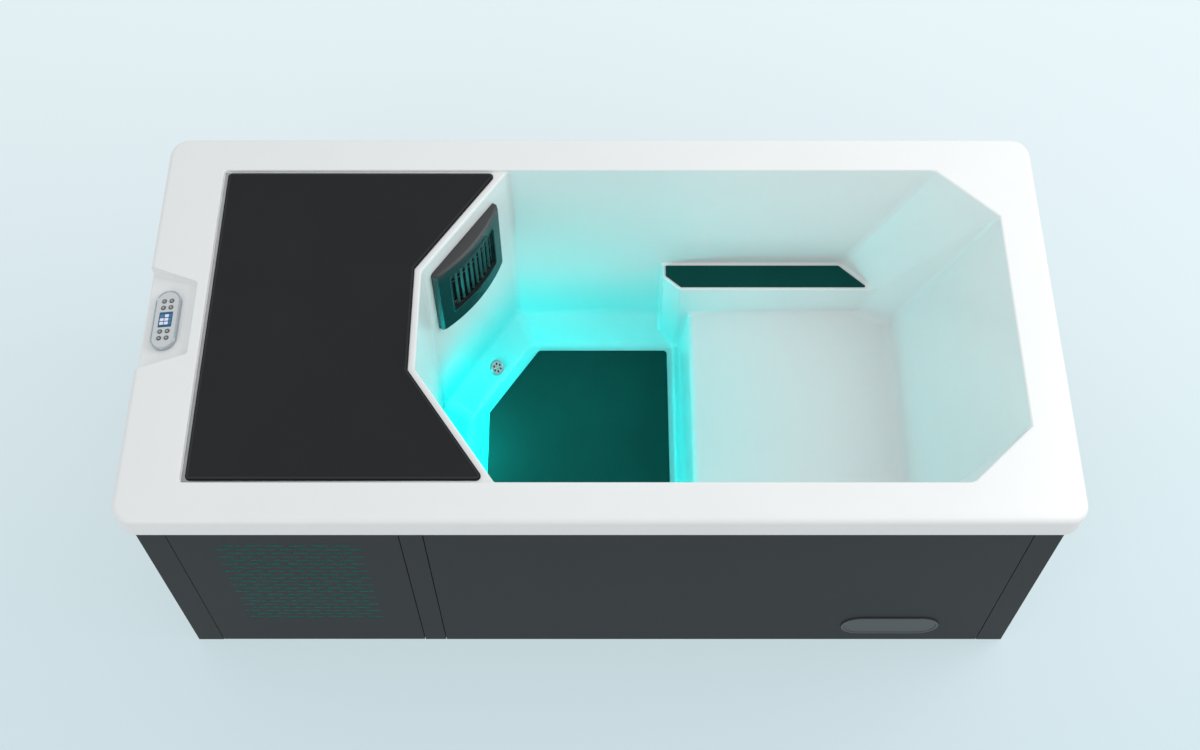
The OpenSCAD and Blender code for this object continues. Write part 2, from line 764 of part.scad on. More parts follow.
module return_fitting() color("silver") on_band(fitting_s, fitting_band) difference() {
  hole_ring = fitting_d / 4;
  hole_d = fitting_d / 7;
  union() {
    cylinder(d1 = fitting_d, d2 = fitting_d - 2 * fitting_face_t, h = fitting_face_t);
    translate([0, 0, -fitting_tail]) cylinder(d = neck_d, h = fitting_tail + over);
    translate([0, 0, -shell_t - nut_t]) cylinder(d = fitting_d, h = nut_t);
  }
  translate([0, 0, -fitting_tail - over]) cylinder(d = neck_d - 2 * pipe_t, h = fitting_tail);
  for (a = [0:60:300]) rotate(a) translate([hole_ring, 0, -fitting_face_t])
    cylinder(d = hole_d, h = 3 * fitting_face_t);
}
module led_lens() color("cyan") nose_light() {
  dome_t = led_d / 24;
  cylinder(d = led_d, h = dome_t / 2);
  translate([0, 0, dome_t / 2]) cylinder(d1 = led_d, d2 = led_d - 4 * dome_t, h = dome_t);
}
module led_housing() color("gray") nose_light() {
  translate([0, 0, -led_tail]) cylinder(d = led_tail_d, h = led_tail);
  translate([0, 0, -shell_t - nut_t]) cylinder(d = led_d, h = nut_t);
}

// Cabinet and frame

module support_foam() color("khaki") {
  foam_edge = 20;
  flat(pan_t, foot_z - shell_t - pan_t) intersection() {
    offset(delta = -band - foam_edge) polygon(foot_plan);
    translate([-half_len, -half_w]) square([half_len + riser_x - foam_edge, tub_w]);
  }
  foam_x = riser_top_x + shell_t + foam_edge;
  translate([foam_x, foam_edge - arm_y, pan_t])
    cube([seat_x - seat_corner_run - foam_x, 2 * (arm_y - foam_edge), seat_z - shell_t - pan_t]);
}
module base_pan() color("dimgray") flat(0, pan_t) square([2 * bay_x, 2 * bay_y], center = true);
module square_tube(length) translate([-length / 2, 0, 0]) difference() {
  cube([length, rail_s, rail_s]);
  translate([-over, rail_t, rail_t]) cube([length + 2 * over, rail_s - 2 * rail_t, rail_s - 2 * rail_t]);
}
// The bolts run along Y through a rail into a post, with their heads inside the cabinet
module bolt_spots(z) for (sx = [-1, 1], sy = [0, 1])
  mirror([0, sy, 0]) translate([sx * bolt_x, -bay_y + rail_s, z + rail_s / 2]) rotate([90, 0, 0]) children();
module bolt_holes(z) bolt_spots(z) translate([0, 0, -over])
  cylinder(d = bolt_d + 2 * bolt_gap, h = rail_s + bolt_grip + 2 * over);
module long_rails(z) difference() {
  for (sy = [0, 1]) mirror([0, sy, 0]) translate([0, -bay_y, z]) square_tube(2 * bay_x);
  bolt_holes(z);
}
module end_rails(z) for (sx = [0, 1])
  mirror([sx, 0, 0]) translate([bay_x, 0, z]) rotate(90) square_tube(2 * (bay_y - rail_s));
module sill_rails() color("slategray") long_rails(pan_t);
module end_sill_rails() color("slategray") end_rails(pan_t);
module top_rails() color("slategray") long_rails(top_rail_z);
module end_top_rails() color("slategray") end_rails(top_rail_z);
module corner_posts() color("#2b2a2a") difference() {
  for (sx = [0, 1], sy = [0, 1]) mirror([sx, 0, 0]) mirror([0, sy, 0]) translate([post_x, cab_y - post_w, 0])
    difference() {
      cube([post_w, post_w, wall_h]);
      translate([-over, -over, -over])
        cube([post_w - panel_t + over, post_w - panel_t + over, wall_h + 2 * over]);
    }
  for (z = [pan_t, top_rail_z]) bolt_holes(z);
}
module frame_bolts() color("silver") for (z = [pan_t, top_rail_z]) bolt_spots(z) {
  translate([0, 0, -bolt_head_t]) cylinder(d = bolt_head_d, h = bolt_head_t);
  cylinder(d = bolt_d, h = rail_s + bolt_grip);
}
module upright_panel(x0, x1, h) translate([x0, -cab_y, 0]) cube([x1 - x0, panel_t, h]);
module vents() for (row = [0:vent_rows - 1]) {
  count = vent_count - row % 2;
  for (i = [0:count - 1]) translate([air_x + (i - (count - 1) / 2) * vent_pitch, vent_z + row * vent_row])
    slot2d(vent_len, vent_h);
}
module access_panel() color("#2b2a2a") translate([0, -cab_y + panel_t - seat_gap, 0]) rotate([90, 0, 0])
  linear_extrude(panel_t - seat_gap) difference() {
    translate([access_x0, access_foot]) square([access_w, access_h]);
    vents();
  }
module front_mullion() color("#2b2a2a") upright_panel(mullion_x, mullion_x + mullion_w, wall_h);
module front_panel() color("#2b2a2a") upright_panel(main_x, post_x - seam, wall_h);
module rear_panel() color("#2b2a2a") mirror([0, 1, 0]) upright_panel(seam - post_x, post_x - seam, wall_h);
module end_panel() {
  w = 2 * (cab_y - post_w - seam);
  translate([bay_x, -w / 2, 0]) cube([panel_t, w, wall_h]);
}
module right_end_panel() color("#2b2a2a") end_panel();
module left_end_panel() color("#2b2a2a") difference() {
  mirror([1, 0, 0]) end_panel();
  translate([-cab_x - over, -recess_mouth / 2 - shell_t - seam, recess_floor(-cab_x) - shell_t - 2 * seam])
    cube([panel_t + 2 * over, recess_mouth + 2 * (shell_t + seam), tub_h]);
  translate([-cab_x - over, exchanger_y, drain_z]) rotate([0, 90, 0])
    cylinder(d = neck_d + 2 * neck_gap, h = panel_t + 2 * over);
  translate([-cab_x - over, gland_y, gland_z]) rotate([0, 90, 0])
    cylinder(d = gland_d + 2 * neck_gap, h = panel_t + 2 * over);
}
module on_front(x, z) translate([x, -cab_y, z]) rotate([90, 0, 0]) children();
module badge_bezel() color("dimgray") on_front(badge_x, badge_z) linear_extrude(badge_t) difference() {
  slot2d(badge_w, badge_h);
  slot2d(badge_w - 2 * badge_rim, badge_h - 2 * badge_rim);
}
module badge_lens() color("lightslategray") on_front(badge_x, badge_z)
  linear_extrude(badge_t - badge_step)
    slot2d(badge_w - 2 * badge_rim - seat_gap, badge_h - 2 * badge_rim - seat_gap);

// Chiller

module condenser_coil() color("silver") translate([air_x, coil_y, pan_t]) {
  fins = floor((coil_w - 2 * coil_plate) / fin_pitch);
  for (i = [0:fins]) translate([(i - fins / 2) * fin_pitch - fin_t / 2, 0, 0]) cube([fin_t, coil_t, coil_h]);
  for (s = [-1, 1]) translate([s * (coil_w - coil_plate) / 2 - coil_plate / 2, 0, 0])
    cube([coil_plate, coil_t, coil_h]);
  for (i = [0:coil_tubes - 1]) {
    end = i == 0 || i == coil_tubes - 1;
    translate([-coil_w / 2, coil_t / 2, (i + 0.5) * coil_h / coil_tubes]) rotate([0, 90, 0])
      cylinder(d = line_d, h = coil_w + (end ? coil_port : 0));
  }
}
module on_fan() translate([air_x, shroud_y, air_z]) rotate([-90, 0, 0]) children();
module fan_shroud() color("dimgray") difference() {
  union() {
    translate([air_x - coil_w / 2, shroud_y, pan_t]) difference() {
      cube([coil_w, shroud_depth, coil_h]);
      translate([shroud_t, -over, shroud_t])
        cube([coil_w - 2 * shroud_t, shroud_depth - shroud_t + over, coil_h - 2 * shroud_t]);
    }
    on_fan() translate([0, 0, shroud_t])
      cylinder(d = fan_d + 2 * fan_clear + 2 * shroud_t, h = shroud_depth - shroud_t);
  }
  on_fan() cylinder(d = fan_d + 2 * fan_clear, h = shroud_depth + over);
}
module fan_motor() color("gray") on_fan() translate([0, 0, shroud_depth]) difference() {
  union() {
    cylinder(d = motor_d, h = motor_len);
    for (a = [0:60:120]) rotate(a) translate([-fan_d / 2 - 3 * fan_clear, -spider_w / 2, 0])
      cube([fan_d + 6 * fan_clear, spider_w, spider_t]);
  }
  translate([0, 0, -over]) cylinder(d = shaft_d + 2 * shaft_gap, h = shaft_len + over);
}
module fan_blade() color("black") on_fan() {
  z0 = shroud_depth - fan_gap - hub_len;
  translate([0, 0, z0]) intersection() {
    cylinder(d = fan_d, h = hub_len);
    union() {
      cylinder(d = hub_d, h = hub_len);
      for (i = [0:fan_blades - 1]) rotate(360 * i / fan_blades)
        translate([0, 0, hub_len / 2]) rotate([blade_a, 0, 0])
          translate([hub_d / 4, -blade_chord / 2, -blade_t / 2]) cube([fan_d / 2, blade_chord, blade_t]);
    }
  }
  translate([0, 0, z0]) cylinder(d = shaft_d, h = hub_len + fan_gap + shaft_len - over);
}
module on_compressor() translate([comp_x, comp_y, comp_z]) children();
module compressor_feet() for (sx = [-1, 1], sy = [-1, 1])
  translate([sx * (foot_len - mount_d) / 2, sy * (foot_w - mount_d) / 2, 0]) children();
module compressor() color("black") on_compressor() {
  r = comp_d / 2;
  rotate_extrude() {
    square([r, comp_h - dome_h]);
    square([r - dome_h, comp_h]);
    translate([r - dome_h, comp_h - dome_h]) circle(dome_h);
  }
  translate([-foot_len / 2, -foot_w / 2, -foot_t]) cube([foot_len, foot_w, foot_t]);
  translate([r - over, 0, discharge_z - comp_z]) rotate([0, 90, 0]) cylinder(d = stub_d, h = stub_len + over);
  translate([over - r, 0, suction_z - comp_z]) rotate([0, -90, 0]) cylinder(d = stub_d, h = stub_len + over);
}
module compressor_mounts() color("black") on_compressor() compressor_feet()
  translate([0, 0, -foot_t - mount_h]) cylinder(d = mount_d, h = mount_h);
// A port on the heat exchanger's side: a turn about its axis, a height and a diameter
water_out_z = return_elbow.z;
exchanger_ports = [[90, water_in_z, pipe_d], [0, water_out_z, pipe_d], [180, drain_z, pipe_d],
  [-90, liquid_z, stub_d], [-90, vapour_z, stub_d]];
module heat_exchanger() color("steelblue") translate([exchanger_x, exchanger_y, 0]) difference() {
  union() {
    translate([0, 0, pan_t]) cylinder(d = exchanger_d, h = exchanger_h);
    for (p = exchanger_ports) translate([0, 0, p[1]]) rotate([0, 90, p[0]])
      cylinder(d = p[2], h = exchanger_d / 2 + pipe_stub);
  }
  translate([0, 0, pan_t + exchanger_t])
    cylinder(d = exchanger_d - 2 * exchanger_t, h = exchanger_h - 2 * exchanger_t);
  for (p = exchanger_ports) translate([0, 0, p[1]]) rotate([0, 90, p[0]])
    cylinder(d = p[2] - 2 * pipe_t, h = exchanger_d);
}
module on_pump() translate([pump_x, port.y, pump_z]) rotate([0, -90, 0]) children();
module pump_housing() color("dimgray") {
  on_pump() difference() {
    union() {
      cylinder(d = pipe_d, h = pump_inlet + over);
      translate([0, 0, pump_inlet]) cylinder(d = pump_d, h = pump_len);
      translate([0, 0, pump_inlet + pump_len / 2]) rotate([0, 90, 0])
        cylinder(d = pipe_d, h = pump_d / 2 + pump_out);
    }
    translate([0, 0, pump_inlet + pump_wall])
      cylinder(d = pump_d - 2 * pump_wall, h = pump_len - 2 * pump_wall);
    translate([0, 0, -over]) cylinder(d = pipe_d - 2 * pipe_t, h = pump_inlet + pump_wall + 2 * over);
    translate([0, 0, pump_inlet + pump_len / 2]) rotate([0, 90, 0])
      cylinder(d = pipe_d - 2 * pipe_t, h = pump_d / 2 + pump_out + over);
    translate([0, 0, pump_inlet + pump_len - pump_wall - over])
      cylinder(d = pump_shaft_d + 2 * shaft_gap, h = pump_wall + 2 * over);
  }
}
module pump_motor() color("black") {
  on_pump() translate([0, 0, pump_inlet + pump_len]) difference() {
    cylinder(d = pump_motor_d, h = pump_motor_len);
    translate([0, 0, -over]) cylinder(d = pump_shaft_d + 2 * shaft_gap, h = pump_shaft + over);
  }
  x1 = pump_x - pump_inlet - pump_len - pump_motor_len;
  difference() {
    translate([x1 + pump_motor_d / 4, port.y - pump_motor_d / 2, pan_t])
      cube([pump_motor_len - pump_motor_d / 2, pump_motor_d, pump_z - pan_t]);
    translate([x1, port.y, pump_z]) rotate([0, 90, 0])
      cylinder(d = pump_motor_d - over, h = pump_motor_len);
  }
}
module pump_impeller() color("orange") on_pump() {
  z0 = pump_inlet + pump_len - pump_wall - impeller_t - 2 * fan_gap;
  translate([0, 0, z0]) cylinder(d = impeller_d, h = impeller_t);
  translate([0, 0, z0 - vane_h]) cylinder(d = 2 * pump_shaft_d, h = vane_h + over);
  for (i = [0:vane_count - 1]) rotate(360 * i / vane_count)
    translate([pump_shaft_d / 2, -blade_t / 2, z0 - vane_h])
      cube([impeller_d / 2 - pump_shaft_d, blade_t, vane_h + over]);
  translate([0, 0, z0])
    cylinder(d = pump_shaft_d, h = impeller_t + 2 * fan_gap + pump_wall + pump_shaft - over);
}
module suction_pipe() color("gainsboro")
  pipe([port, [port.x, port.y, pump_z], [pump_x, port.y, pump_z]], pipe_d, pipe_t);
module discharge_pipe() {
  x = pump_x - pump_inlet - pump_len / 2;
  color("gainsboro") pipe([[x, port.y, pump_z + pump_d / 2 + pump_out], [x, port.y, water_in_z],
    [exchanger_x, port.y, water_in_z], [exchanger_x, exchanger_y + exchanger_d / 2 + pipe_stub, water_in_z]],
    pipe_d, pipe_t);
}
module return_pipe() color("gainsboro") pipe([
  [exchanger_x + exchanger_d / 2 + pipe_stub, exchanger_y, water_out_z],
  [return_elbow.x - return_turn, exchanger_y, water_out_z], return_elbow, fitting_end], neck_d, pipe_t);
// The three pipes are one node of three separate solids, and so are the two bare copper lines
module water_pipes() {
  suction_pipe();
  discharge_pipe();
  return_pipe();
}
line_margin = 16;
line_x = air_x + coil_w / 2 + coil_port + line_margin;
module hot_gas_line() {
  end_z = pan_t + (coil_tubes - 0.5) * coil_h / coil_tubes;
  y = coil_y + coil_t / 2;
  color("chocolate") run([[comp_x + comp_d / 2 + stub_len, comp_y, discharge_z],
    [line_x, comp_y, discharge_z], [line_x, comp_y, end_z], [line_x, y, end_z],
    [air_x + coil_w / 2 + coil_port, y, end_z]], line_d);
}
module liquid_line() {
  end_z = pan_t + 0.5 * coil_h / coil_tubes;
  y = coil_y + coil_t / 2;
  turn_y = comp_y - foot_w / 2 - 3 * line_d;
  color("chocolate") run([[air_x + coil_w / 2 + coil_port, y, end_z], [line_x, y, end_z],
    [line_x, turn_y, end_z], [line_x, turn_y, liquid_z], [exchanger_x, turn_y, liquid_z],
    [exchanger_x, exchanger_y - exchanger_d / 2 - pipe_stub, liquid_z]], line_d);
}
module copper_lines() {
  hot_gas_line();
  liquid_line();
}
module vapour_line() color("chocolate") run([
  [exchanger_x, exchanger_y - exchanger_d / 2 - pipe_stub, vapour_z], [exchanger_x, comp_y, vapour_z],
  [exchanger_x, comp_y, suction_z], [comp_x - comp_d / 2 - stub_len, comp_y, suction_z]], line_d);

// Drain, control box and power gland, on the control end

module on_drain() translate([valve_x, exchanger_y, drain_z]) rotate([0, -90, 0]) children();
hose_x = cab_x + valve_x;
module drain_valve() color("goldenrod") on_drain() difference() {
  union() {
    cylinder(d = valve_d, h = valve_len);
    cylinder(d = neck_d, h = hose_x + over);
    translate([0, 0, hose_x]) cylinder(d = hose_d, h = hose_len);
  }
  translate([0, 0, -over]) cylinder(d = drain_bore, h = hose_x + hose_len + 2 * over);
  translate([0, 0, valve_len / 2]) sphere(d = ball_d + 4 * shaft_gap);
  translate([0, 0, valve_len / 2]) rotate([0, 90, 0]) cylinder(d = stem_d + 2 * shaft_gap, h = valve_d);
}
module drain_lever() color("firebrick") on_drain() translate([0, 0, valve_len / 2]) {
  difference() {
    union() {
      sphere(d = ball_d);
      rotate([0, 90, 0]) cylinder(d = stem_d, h = valve_d / 2 + lever_rise);
    }
    rotate([90, 0, 0]) cylinder(d = drain_bore, h = ball_d + over, center = true);
  }
  translate([valve_d / 2 + lever_rise, -lever_len, -lever_w / 2])
    cube([lever_t, lever_len + lever_w / 2, lever_w]);
}
module control_box() color("lightgray") translate([-bay_x, box_y0, box_z]) difference() {
  cube([box_depth, box_y1 - box_y0, box_h]);
  translate([-over, box_t, box_t])
    cube([box_depth - box_t + over, box_y1 - box_y0 - 2 * box_t, box_h - 2 * box_t]);
}
module power_gland() color("black") translate([-cab_x, gland_y, gland_z]) rotate([0, 90, 0]) difference() {
  union() {
    translate([0, 0, -gland_head_t]) cylinder(d = gland_head_d, h = gland_head_t);
    cylinder(d = gland_d, h = panel_t + 2 * gland_head_t);
    translate([0, 0, panel_t]) cylinder(d = gland_head_d, h = gland_head_t);
  }
  translate([0, 0, -gland_head_t - over]) cylinder(d = gland_bore, h = panel_t + 3 * gland_head_t + 2 * over);
}

tub_rim();
footwell_shell();
seat_front_shell();
seat_shell();
deck_pad();
footwell_mat();
rear_armrest_pad();
front_armrest_pad();
keypad_housing();
keypad_bezel();
keypad_screen();
button(0);  // button_1
button(1);  // button_2
button(2);  // button_3
button(3);  // button_4
button(4);  // button_5
button(5);  // button_6
button(6);  // button_7
button(7);  // button_8
keypad_cable();
filter_cover();
filter_grille();
filter_cartridge();
filter_housing();
return_fitting();
led_lens();
led_housing();
support_foam();
base_pan();
sill_rails();
end_sill_rails();
top_rails();
end_top_rails();
corner_posts();
frame_bolts();
access_panel();
front_mullion();
front_panel();
rear_panel();
left_end_panel();
right_end_panel();
badge_bezel();
badge_lens();
condenser_coil();
fan_shroud();
fan_motor();
fan_blade();
compressor();
compressor_mounts();
heat_exchanger();
pump_housing();
pump_motor();
pump_impeller();
control_box();
power_gland();
water_pipes();
copper_lines();
vapour_line();
drain_valve();
drain_lever();
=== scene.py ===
# %% [markdown]
# # A cold plunge tub
# One person sits in this tub with outstretched legs. A thin white acrylic shell hangs by its
# rim in a dark cabinet, and the closed end of the cabinet hides a chiller. The engineering
# model is loaded first and never changes. Each cell after that gives one piece its finished
# surface, in metres, at the place where the engineering model has it.

# %% Load the frame
import math

import bmesh
import bpy
from mathutils import Matrix, Vector
from mathutils.bvhtree import BVHTree


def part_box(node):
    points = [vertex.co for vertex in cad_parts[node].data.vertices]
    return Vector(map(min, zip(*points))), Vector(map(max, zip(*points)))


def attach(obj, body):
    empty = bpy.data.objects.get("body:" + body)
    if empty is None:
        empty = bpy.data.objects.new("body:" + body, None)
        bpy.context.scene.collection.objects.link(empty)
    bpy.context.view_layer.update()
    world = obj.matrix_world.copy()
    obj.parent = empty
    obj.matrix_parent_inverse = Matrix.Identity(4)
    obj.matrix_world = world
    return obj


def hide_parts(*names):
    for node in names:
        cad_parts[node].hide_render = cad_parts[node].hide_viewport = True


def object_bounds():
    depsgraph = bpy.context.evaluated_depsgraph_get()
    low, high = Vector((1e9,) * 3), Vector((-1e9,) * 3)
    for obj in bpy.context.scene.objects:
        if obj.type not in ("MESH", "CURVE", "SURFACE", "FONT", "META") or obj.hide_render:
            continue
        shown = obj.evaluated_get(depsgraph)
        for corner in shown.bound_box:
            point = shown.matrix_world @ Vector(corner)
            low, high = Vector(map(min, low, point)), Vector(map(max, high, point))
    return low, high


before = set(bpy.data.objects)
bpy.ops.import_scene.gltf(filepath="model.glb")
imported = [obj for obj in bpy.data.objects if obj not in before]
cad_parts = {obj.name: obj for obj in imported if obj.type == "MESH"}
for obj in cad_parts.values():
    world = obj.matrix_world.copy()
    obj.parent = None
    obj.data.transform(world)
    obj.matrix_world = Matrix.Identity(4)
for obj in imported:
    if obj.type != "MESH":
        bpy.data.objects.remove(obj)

MM = 0.001
cad_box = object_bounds()

# %% [markdown]
# ## The camera
# The photograph looks down into the well at a steep angle, from the middle of the front side.
# Its vanishing lines give a pitch of 60 degrees and a lens of about 48 mm. The camera comes
# first, because every later choice of detail depends on what it shows.

# %% Camera
CAMERA_PLACE, CAMERA_PITCH = (0, -1.851, 3.683), 60
LENS_MM, SENSOR_MM = 47.85, 36
camera_data = bpy.data.cameras.new("tub_camera")
camera_data.lens = LENS_MM
camera_data.sensor_width = SENSOR_MM
camera_data.sensor_fit = "HORIZONTAL"
camera = bpy.data.objects.new("tub_camera", camera_data)
camera.location = CAMERA_PLACE
camera.rotation_euler = (math.radians(90 - CAMERA_PITCH), 0, 0)
bpy.context.collection.objects.link(camera)
bpy.context.scene.camera = camera
bpy.context.scene.view_settings.view_transform = "Standard"
print("camera at", tuple(camera.location))

# %% [markdown]
# ## Colours and nodes
# Hex colours are sRGB, as they are read off a colour picker, but shaders work with linear
# light. One function converts them. A second one adds any node with its settings and links,
# which keeps each material short enough to read.

# %% Colour and node helpers
def linear(hex_colour):
    parts = [int(hex_colour[i:i + 2], 16) / 255 for i in (1, 3, 5)]
    curve = [c / 12.92 if c <= 0.04045 else ((c + 0.055) / 1.055) ** 2.4 for c in parts]
    return (*curve, 1.0)


def add_node(tree, kind, values=None, links=None, **settings):
    node = tree.nodes.new("ShaderNode" + kind)
    for name, value in settings.items():
        setattr(node, name, value)
    for socket, value in (values or {}).items():
        node.inputs[socket].default_value = value
    for socket, source in (links or {}).items():
        tree.links.new(source, node.inputs[socket])
    return node


def new_finish(name, **surface):
    finish = bpy.data.materials.new(name)
    finish.use_nodes = True
    shader = finish.node_tree.nodes["Principled BSDF"]
    for socket, value in surface.items():
        shader.inputs[socket.replace("_", " ")].default_value = value
    return finish, finish.node_tree, shader


print("white is", [round(c, 3) for c in linear("#FFFFFF")])

# %% [markdown]
# ## Moulded and painted finishes
# Most parts are moulded plastic or powder-coated steel. Both have a fine grain that breaks up
# reflections, and a colour that isn't quite even. A noise texture on Object coordinates gives
# both at a real size: a scale of 1000 divided by the grain in millimetres. Real mould texture
# is finer than half a millimetre. It is drawn at one to three, so that it shows in a render of
# the whole tub. One function makes the family, and the finishes differ in colour, gloss and grain.

# %% Grained finishes
CLOUD_MM, GRAIN_SHARE = 500 / 3, 0.35


def grained(name, colour, roughness, grain_mm, depth_mm, shade=0.05, **surface):
    finish, tree, shader = new_finish(name, Roughness=roughness, **surface)
    place = add_node(tree, "TexCoord").outputs["Object"]
    grain = add_node(tree, "TexNoise", {"Scale": 1000 / grain_mm, "Detail": 3.0}, {"Vector": place})
    cloud = add_node(tree, "TexNoise", {"Scale": 1000 / CLOUD_MM, "Detail": 2.0}, {"Vector": place})
    pair = {"A": cloud.outputs["Fac"], "B": grain.outputs["Fac"]}
    both = add_node(tree, "Mix", {"Factor": GRAIN_SHARE}, pair, data_type="FLOAT")
    tone = add_node(tree, "ValToRGB", links={"Fac": both.outputs["Result"]})
    base = linear(colour)
    tone.color_ramp.elements[0].position = 0.3
    tone.color_ramp.elements[0].color = [c * (1 - shade) for c in base[:3]] + [1]
    tone.color_ramp.elements[1].position = 0.7
    tone.color_ramp.elements[1].color = [min(1, c * (1 + shade)) for c in base[:3]] + [1]
    tree.links.new(tone.outputs["Color"], shader.inputs["Base Color"])
    bump = add_node(tree, "Bump", {"Distance": depth_mm * MM, "Strength": 0.6},
                    {"Height": grain.outputs["Fac"]})
    tree.links.new(bump.outputs["Normal"], shader.inputs["Normal"])
    return finish


# Painted cyan light: near a point the base colour loses its red, and the red comes back smoothly further
# away
def paint_cyan_light(finish, source, stretch, near, far, least):
    tree = finish.node_tree
    surface = tree.nodes["Principled BSDF"].inputs["Base Color"]
    centre = [s * c for s, c in zip(stretch, source)]
    point = add_node(tree, "TexCoord").outputs["Object"]
    place = add_node(tree, "Mapping", {"Scale": stretch}, {"Vector": point}).outputs["Vector"]
    reach = add_node(tree, "VectorMath", {1: centre}, {0: place}, operation="DISTANCE")
    limits = {"From Min": near, "From Max": far, "To Min": least, "To Max": 1.0}
    red = add_node(tree, "MapRange", limits, {"Value": reach.outputs["Value"]},
                   interpolation_type="SMOOTHERSTEP")
    cast = add_node(tree, "CombineColor", {"Green": 1.0, "Blue": 1.0}, {"Red": red.outputs["Result"]})
    painted_tint = add_node(tree, "Mix", {0: 1.0}, data_type="RGBA", blend_type="MULTIPLY")
    tree.links.new(surface.links[0].from_socket, painted_tint.inputs[6])
    tree.links.new(cast.outputs["Color"], painted_tint.inputs[7])
    tree.links.new(painted_tint.outputs[2], surface)


# Thermoformed acrylic: glossy, with the faint waves that the stretched sheet keeps
ACRYLIC = grained("thermoformed_acrylic", "#EFF0F0", 0.27, 40, 0.05, 0.01, IOR=1.49)
# Painted cyan light: round the lamp the base colour of the milky sheet loses its red
paint_cyan_light(ACRYLIC, (-0.36, -0.02, 0.08), (0.6, 0.8, 2.4), 0.06, 0.85, 0.02)
# Closed-cell foam: dull, and pebbled by the pores that were cut open
DECK_FOAM = grained("eva_foam_charcoal", "#1E1E1F", 0.85, 3.0, 0.35, 0.09, Specular_IOR_Level=0.3)
# Painted shade on the router's slope, darker than the skin, and a painted highlight on the border that it
# skims, paler
DECK_SLOPE_SHADE = grained("eva_foam_slope_painted_shade", "#0D0D0E", 0.85, 3.0, 0.35, 0.09, Specular_IOR_Level=0.3)
DECK_BORDER_HIGHLIGHT = grained("eva_foam_border_painted_highlight", "#2D2E2F", 0.85, 3.0, 0.35, 0.09, Specular_IOR_Level=0.3)
# The foam in the well is a deep green, and it drinks nearly all of the light
MAT_FOAM = grained("eva_foam_footwell", "#01443F", 0.9, 3.0, 0.35, 0.09, Specular_IOR_Level=0.15)
# Foamed PVC board: charcoal through and through, with a fine sanded grain
CABINET = grained("foamed_pvc_charcoal", "#232324", 0.6, 2.5, 0.15, 0.06, Specular_IOR_Level=0.35)
# Injection-moulded ABS: spark-eroded mould texture, satin
COVER_ABS = grained("abs_warm_grey", "#3A393A", 0.42, 1.6, 0.08, 0.05)
# Painted cyan light: below the crown of the cover the base colour of its face loses its red
paint_cyan_light(COVER_ABS, (0, 0, 0.44), (0, 0, 1), 0.2, 0.232, 0.08)
GRILLE_ABS = grained("abs_black", "#151616", 0.5, 1.6, 0.08, 0.05)
WHITE_ABS = grained("abs_white", "#D6D8D9", 0.4, 1.6, 0.06, 0.03)
BOX_ABS = grained("abs_light_grey", "#B4B7BA", 0.5, 1.6, 0.08, 0.04)
# Silver lacquer over ABS: smoother than bare plastic, with a hint of metal flake
KEYPAD_ABS = grained("abs_silver_lacquer", "#D2D4D6", 0.34, 1.2, 0.03, 0.03, Metallic=0.08)
KEY_ABS = grained("key_cap_grey", "#A6A9A8", 0.45, 1.2, 0.03, 0.03)
# Nylon filled with glass fibre: the fibres dull the skin and mottle it
NYLON = grained("glass_filled_nylon", "#1B1B1C", 0.5, 1.4, 0.1, 0.07)
# Rotomoulded polyethylene: waxy, with the coarse skin of an open mould
PAN_HDPE = grained("rotomoulded_hdpe", "#26272A", 0.6, 3.0, 0.2, 0.06)
# Extruded PVC: nearly smooth, with long shallow waves from the die
PVC_PIPE = grained("pvc_pipe_white", "#DCDCD8", 0.38, 12, 0.04, 0.02)
CABLE_PVC = grained("cable_pvc_black", "#0E0E0F", 0.45, 2.0, 0.05, 0.05)
# Moulded rubber: matt, and dusty where the mould was etched
RUBBER = grained("moulded_rubber", "#141414", 0.75, 1.5, 0.1, 0.08)
# Powder coat: baked paint with a fine orange peel
STEEL_PAINT = grained("powder_coat_slate", "#454A50", 0.5, 1.8, 0.12, 0.05)
BLACK_PAINT = grained("powder_coat_black", "#171718", 0.42, 1.8, 0.12, 0.06)
# Sprayed enamel on cast iron: glossier, over the roughness of the casting
MOTOR_PAINT = grained("motor_enamel_grey", "#5A5F66", 0.4, 2.2, 0.1, 0.06)
# Dipped vinyl: thick and soft, so its gloss has slow waves
RED_VINYL = grained("dipped_vinyl_red", "#A3140F", 0.35, 3.0, 0.06, 0.05)
# Polyphenylene: the honey colour of the bare resin
IMPELLER_PPO = grained("impeller_ppo", "#A8743A", 0.45, 1.6, 0.06, 0.06)
# Poured polyurethane foam: chalky, with open bubbles
FOAM_BLOCK = grained("polyurethane_foam", "#CDBE8E", 0.9, 5.0, 0.9, 0.12)
print("grained finishes", len(bpy.data.materials))

# %% [markdown]
# ## Metals
# A metal has no body colour: all of its look is in the reflection. Chrome plate is a mirror,
# zinc and brass are dulled by the tool or the bath, and copper tube shows drawing marks along
# its length. A stretched noise gives the marks, and it changes the roughness, not the colour.

# %% Metal finishes
def metal(name, colour, roughness, mark_mm, stretch=(1, 1, 1), wear=0.08):
    finish, tree, shader = new_finish(name, Metallic=1.0, Base_Color=linear(colour))
    place = add_node(tree, "TexCoord").outputs["Object"]
    stretched = add_node(tree, "Mapping", {"Scale": stretch}, {"Vector": place})
    marks = add_node(tree, "TexNoise", {"Scale": 1000 / mark_mm, "Detail": 4.0},
                     {"Vector": stretched.outputs["Vector"]})
    gloss = add_node(tree, "MapRange", {"To Min": roughness - wear, "To Max": roughness + wear},
                     {"Value": marks.outputs["Fac"]})
    tree.links.new(gloss.outputs["Result"], shader.inputs["Roughness"])
    return finish


# Zinc plate: a thin dull bath coat, with the soft spangle of barrel plating
ZINC = metal("zinc_plate", "#B9BCC0", 0.38, 3)
# Drawn copper tube: bright, with marks along its length
COPPER = metal("drawn_copper", "#C98563", 0.3, 4, (1, 1, 0.2))
